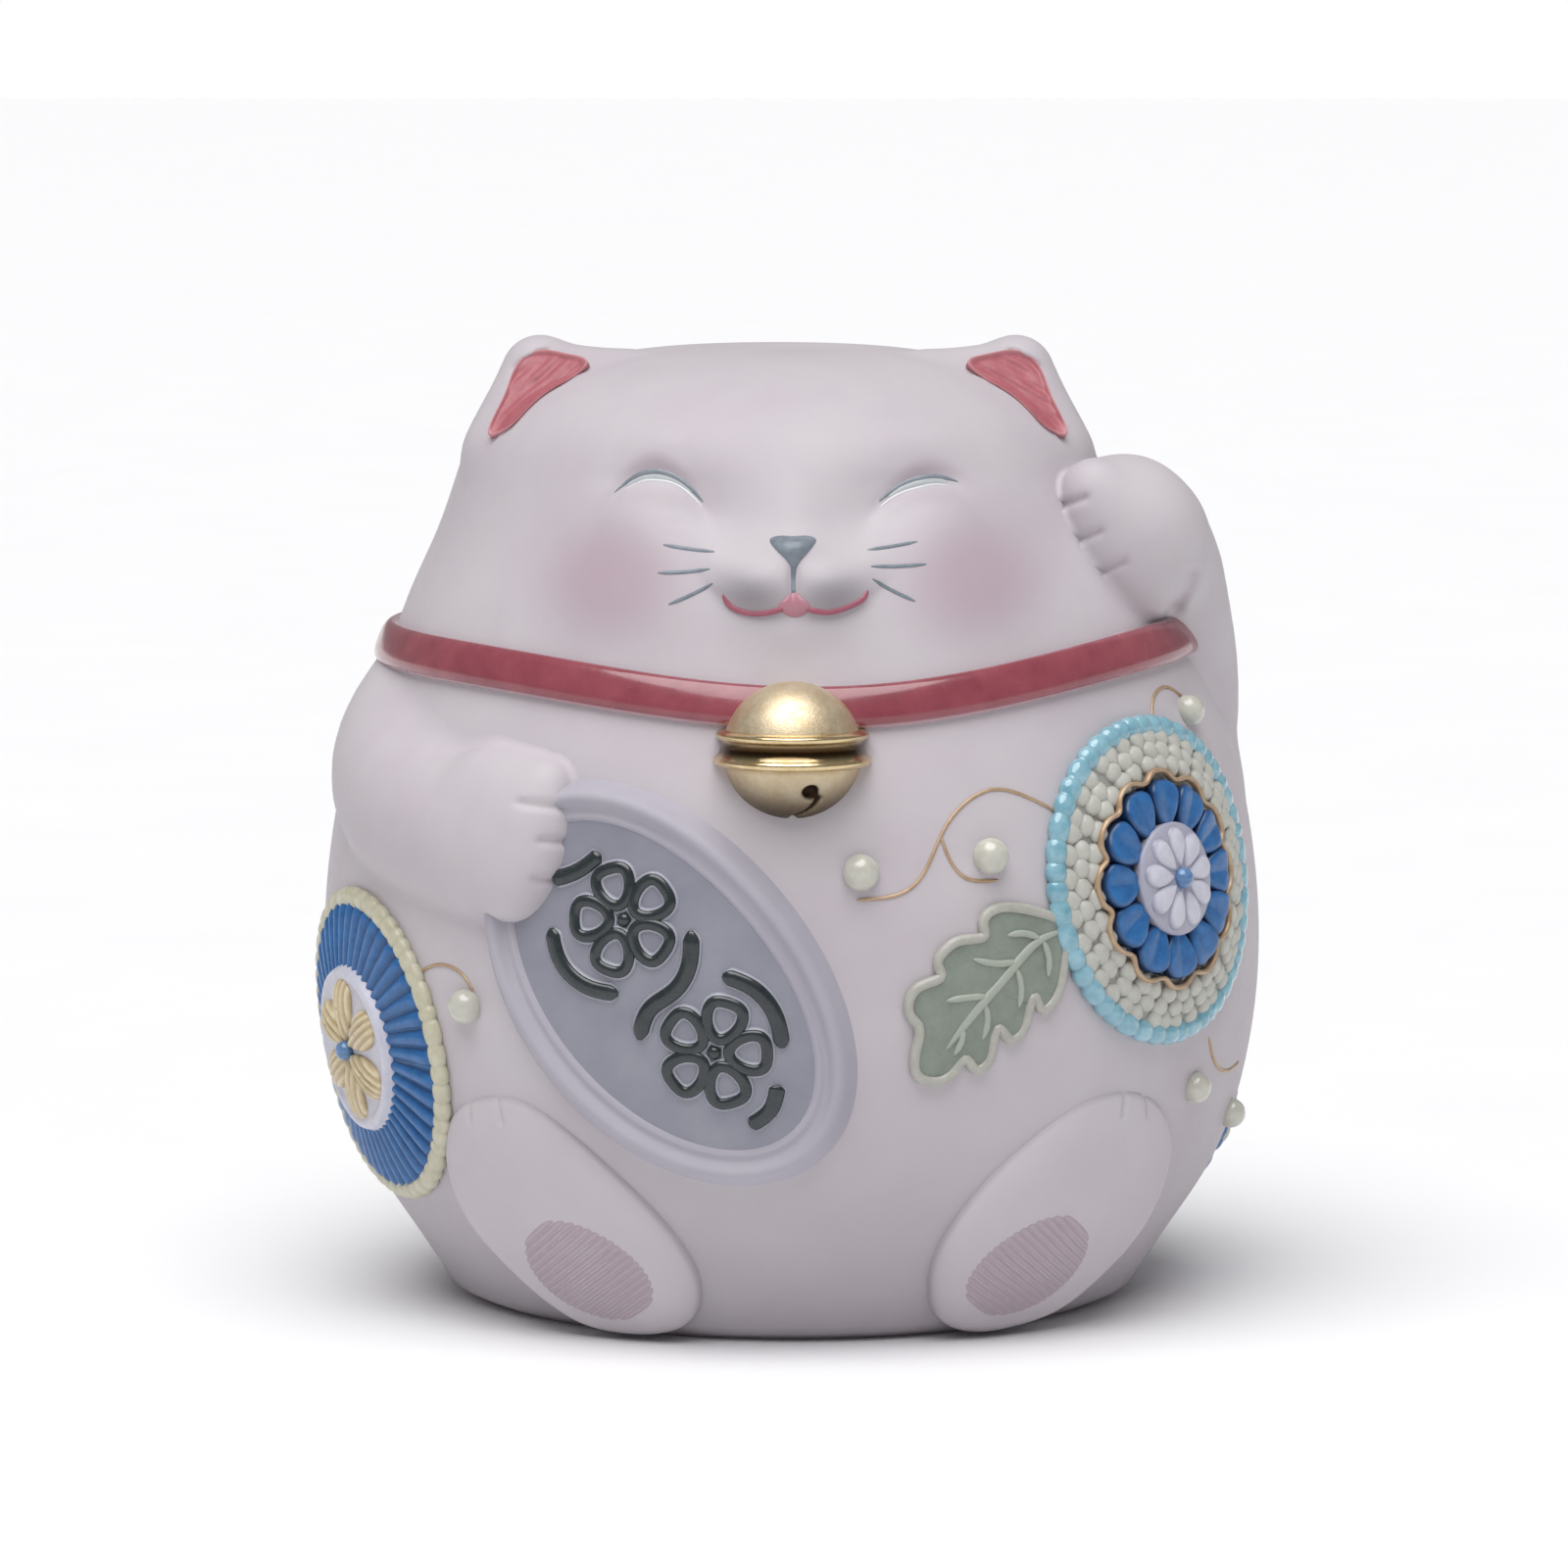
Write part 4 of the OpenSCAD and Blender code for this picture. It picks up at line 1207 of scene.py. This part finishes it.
def pleated_flower(name, seed):
    place = place_of(f"{name}_bead")
    make_piece(f"{name}_rim", [wavy_rope(place, 26.2, 1.8, 1.3, 50, 0.24, seed, 0.75)], RIM_CREAM)
    rng = np.random.default_rng(seed + 1)
    count = 620
    t = np.arange(count) * TAU / count
    wander = np.interp(t, np.linspace(0, TAU, 13), np.append(rng.standard_normal(12), 0) * 0.35)

    def wave(s):
        """Pleats at share s of the way out: 0 in a fold, 1 on a ridge."""
        return np.abs(np.sin((PLEATS * t + 2 * wander + 2.4 * s) / 2))

    def fluted(flat, s):
        return 1.0 + 1.15 * wave(s) ** 0.8 * (0.45 + 0.55 * s) + 0.9 * (1 - s) - 0.5 * ease((s - 0.9) / 0.1)

    skirt = band(place, ring_outline(12.0, count), ring_outline(25.3, count), fluted, PLEAT_RINGS)
    # Painted shade in the pleats' folds.
    fold_shade = 1 - wave(np.linspace(0, 1, PLEAT_RINGS)[:, None]) ** 0.5
    make_piece(f"{name}_pleats", [skirt], COBALT, shade=0.75 * fold_shade)

    def rolled(flat, s):
        return 2.7 + 0.75 * np.exp(-((s - 0.9) / 0.08) ** 2) - 0.8 * ease((s - 0.94) / 0.06)

    grow = np.concatenate([np.linspace(0.05, 0.75, 6), np.linspace(0.78, 1, 12)])
    make_piece(f"{name}_disc", [cushion(place, ring_outline(14.6, 120), rolled, grow=grow)], WHITE_PETAL)
    across = petal_outline(*STRIPED_PETAL, STRIPED_COUNT, STRIPED_TIP)[:, 1] / STRIPED_PETAL[2]
    stripes = 0.35 * (1 - np.cos(5 * np.pi * across * shares(STRIPED_RINGS)[:, None]))
    six = petals(place, *STRIPED_PETAL, np.arange(6) * 60 + 30,
                 lambda u, v, t: dome(t, 2.9, 1.3, 2.4) + 0.28 * np.cos(5 * np.pi * v) * (1 - t ** 4),
                 STRIPED_TIP, STRIPED_RINGS, 2.0, STRIPED_COUNT)
    make_piece(f"{name}_petals", six, PETAL_CREAM,
               shade=np.tile(np.append(stripes, np.ones(2 * STRIPED_COUNT + 2)), 6))
    make_piece(f"{name}_bead", [ball(place, 1.7, 3.6)], BEAD_BLUE)


def small_flower():
    place = place_of("small_flower_bead")
    eight = petals(place, 1.5, 11.8, 3.4, np.arange(8) * 45,
                   lambda u, v, t: dome(t, 0.3, 1.6, 2.6) - 0.3 * np.exp(-(v / 0.2) ** 2) * u,
                   0.7, 10, -0.5, 44)
    make_piece("small_flower_petals", eight, COBALT)
    make_piece("small_flower_bead", [ball(place, 2.8, 1.9, 0.8)], RIM_CREAM)


LEAF_AT = (23.4, 63.2)
LEAF_OUTLINE = [(14.6, 9.6), (10.8, 12), (4.4, 13.6), (0.6, 13.3), (-1.2, 11.2), (-1, 9.4), (-5, 8.6),
                (-8.3, 6.9), (-9.5, 4.8), (-8.9, 3), (-12.2, 1.3), (-14.5, -1.3), (-14.2, -3.8),
                (-12.9, -5.4), (-13, -9.2), (-12.4, -14.2), (-8.5, -15), (-5.6, -12.6), (-4.4, -11.5),
                (-2.4, -13.4), (-0.2, -12.1), (0.6, -8.4), (1.4, -6.6), (3.8, -8.6), (6.2, -7),
                (7.2, -3.6), (8.2, -1.6), (9.6, -3.8), (11.9, -2.7), (13.8, 1.6), (14.4, 5.4)]
LEAF_RIBS = [[(14, 9.2), (9, 7.8), (3.4, 3), (-2, -2.4), (-8, -9.6)],
             [(9.4, 8), (6, 9.2), (3, 9)], [(5.2, 4.6), (1, 4.4), (-3.4, 5.4)],
             [(-0.5, -1), (-4.5, -1), (-8.2, -1.4)], [(9.6, 8), (10.8, 4.6), (10.6, 1.6)],
             [(4.4, 3.8), (5.4, 0), (5, -3.2)], [(-1.4, -1.9), (-0.8, -5), (-1.6, -8.2)],
             [(-5.2, -5.8), (-5.4, -8.4), (-6.6, -10.6)]]


def leaves():
    """Each leaf: a slightly wavy blade, its raised edge, and veins of which the first is the widest."""
    def blade(flat, t):
        return 0.95 + 0.35 * (1 - t) + 0.1 * np.sin(flat @ (0.9, 0.4)) - 0.5 * ease((t - 0.95) / 0.05)

    veins = []
    for name, place, turn in (("leaf", LEAF_AT, 0), ("back_leaf", place_of("back_leaf"), 120)):
        surface = on_patch(place, turn)
        make_piece(name, [cushion(place, smooth_line(LEAF_OUTLINE, 260, True), blade, 14, turn)], LEAF_GREEN)
        rim = line_on(surface, LEAF_OUTLINE, 0.95, 1.0, 0.55, 10, 0, 260, True)
        make_piece(f"{name}_edge", [rim], LEAF_PALE, [])
        veins += [line_on(surface, path, 0.62 if k else 0.85, 0.55, 1.1, 10, 12, 46)
                  for k, path in enumerate(LEAF_RIBS)]
    make_piece("leaf_veins", veins, LEAF_GREEN, shade=0.6)


# Pearls as (azimuth, height, radius), vines as lines of (azimuth, height)
PEARLS = [(8, 83.5, 3.1), (24, 85.5, 3.1), (65.0, 106, 2.8), (58.8, 41.6, 2.7), (77, 33.5, 2.6),
          (-41.5, 58.5, 3.0), (168, 96, 3.1), (196, 104, 3.1), (228, 58, 3.1), (242, 80, 3.1)]
VINES = [[(34.6, 91.6), (32, 93.6), (29, 95.5), (25.5, 96.5), (21, 94), (17.5, 88), (13, 80), (7.5, 79)],
         [(18, 89), (19, 85), (21, 82), (25, 81.5)], [(55, 105.5), (57, 109), (62, 110.5), (66, 108)],
         [(61, 50), (64, 45), (69, 42.5), (75, 43)], [(-50, 63), (-46, 65), (-42.5, 64), (-40.5, 61)],
         [(135, 75), (142, 80), (152, 90), (164, 92), (176, 84), (190, 76), (196, 74.5)],
         [(166, 91), (176, 97), (188, 99), (196, 104)], [(214, 74), (226, 78), (236, 72), (242, 76)],
         [(222, 77), (224, 68), (228, 62)]]


def pearls_and_vines():
    make_piece("pearls", [ball((az, z), size, 0.2 * size) for az, z, size in PEARLS], PEARL)
    lines = [line_on(by_azimuth, path, 0.32, 0.32, 0.0, 8, 5, 26 * len(path)) for path in VINES]
    make_piece("vines", lines, GOLD_LINE)


body_shell()
head_shell()
face_features()
ears()
raised_arm()
holding_arm()
tail()
feet()
coin()
collar()
bell()
left_flower()
pleated_flower("right_flower", 21)
pleated_flower("back_flower", 34)
small_flower()
leaves()
pearls_and_vines()


# ---------------- stage, lights, camera

def stage():
    """Pale floor, far wider than the view."""
    reach = 40.0
    mesh = bpy.data.meshes.new("studio_floor")
    mesh.from_pydata([(a * reach, b * reach, -5e-5) for a, b in ((-1, -1), (1, -1), (1, 1), (-1, 1))], [],
                     [(0, 1, 2, 3)])
    f = Finish("studio_floor")
    colour = f.mixed(f.noise(400, 2), srgb(248, 248, 249), srgb(246, 246, 248))
    material, _ = f.done(colour, f.between(f.noise(60, 2), 0.2, 0.7, 0.8), f.bump(f.noise(2, 2), 0.01, 0.1))
    mesh.materials.append(material)
    placed("studio_floor", mesh)


def sun(name, azimuth, elevation, strength, width):
    """Soft light from a direction; azimuth 0 is in front, and it grows towards +X."""
    data = bpy.data.lights.new(name, "SUN")
    data.energy, data.angle = strength, np.radians(width)
    placed(name, data).rotation_euler = (np.radians(90 - elevation), 0, np.radians(azimuth))


def world():
    """Studio surroundings: a white band at the horizon under a dim ceiling."""
    made = bpy.data.worlds.new("studio")
    made.use_nodes = True
    tree = made.node_tree
    height = new_node(tree, "SeparateXYZ", "Z", Vector=new_node(tree, "TexCoord", "Generated"))
    strength = new_node(tree, "MapRange", "Result", Value=height, From_Min=0.014, From_Max=0.05,
                        To_Min=1.0, To_Max=0.22)
    wire(tree, tree.nodes["Background"], Color=(1, 1, 1, 1), Strength=strength)
    bpy.context.scene.world = made


CAMERA_AT = (-1.4, -1239.48, 218.55)
CAMERA_DOWN = 5.92


def camera():
    """The photograph's camera: a long lens a little above the piece, looking slightly down."""
    data = bpy.data.cameras.new("camera")
    data.lens, data.sensor_width = 160, 36
    data.clip_start, data.clip_end = 0.05, 200
    made = placed("camera", data)
    made.location = np.array(CAMERA_AT) * MM
    made.rotation_euler = (np.radians(90 - CAMERA_DOWN), 0, 0)
    bpy.context.scene.camera = made


stage()
world()
sun("key", -12, 71, 3.0, 56)
camera()
bpy.context.scene.view_settings.view_transform = "Standard"
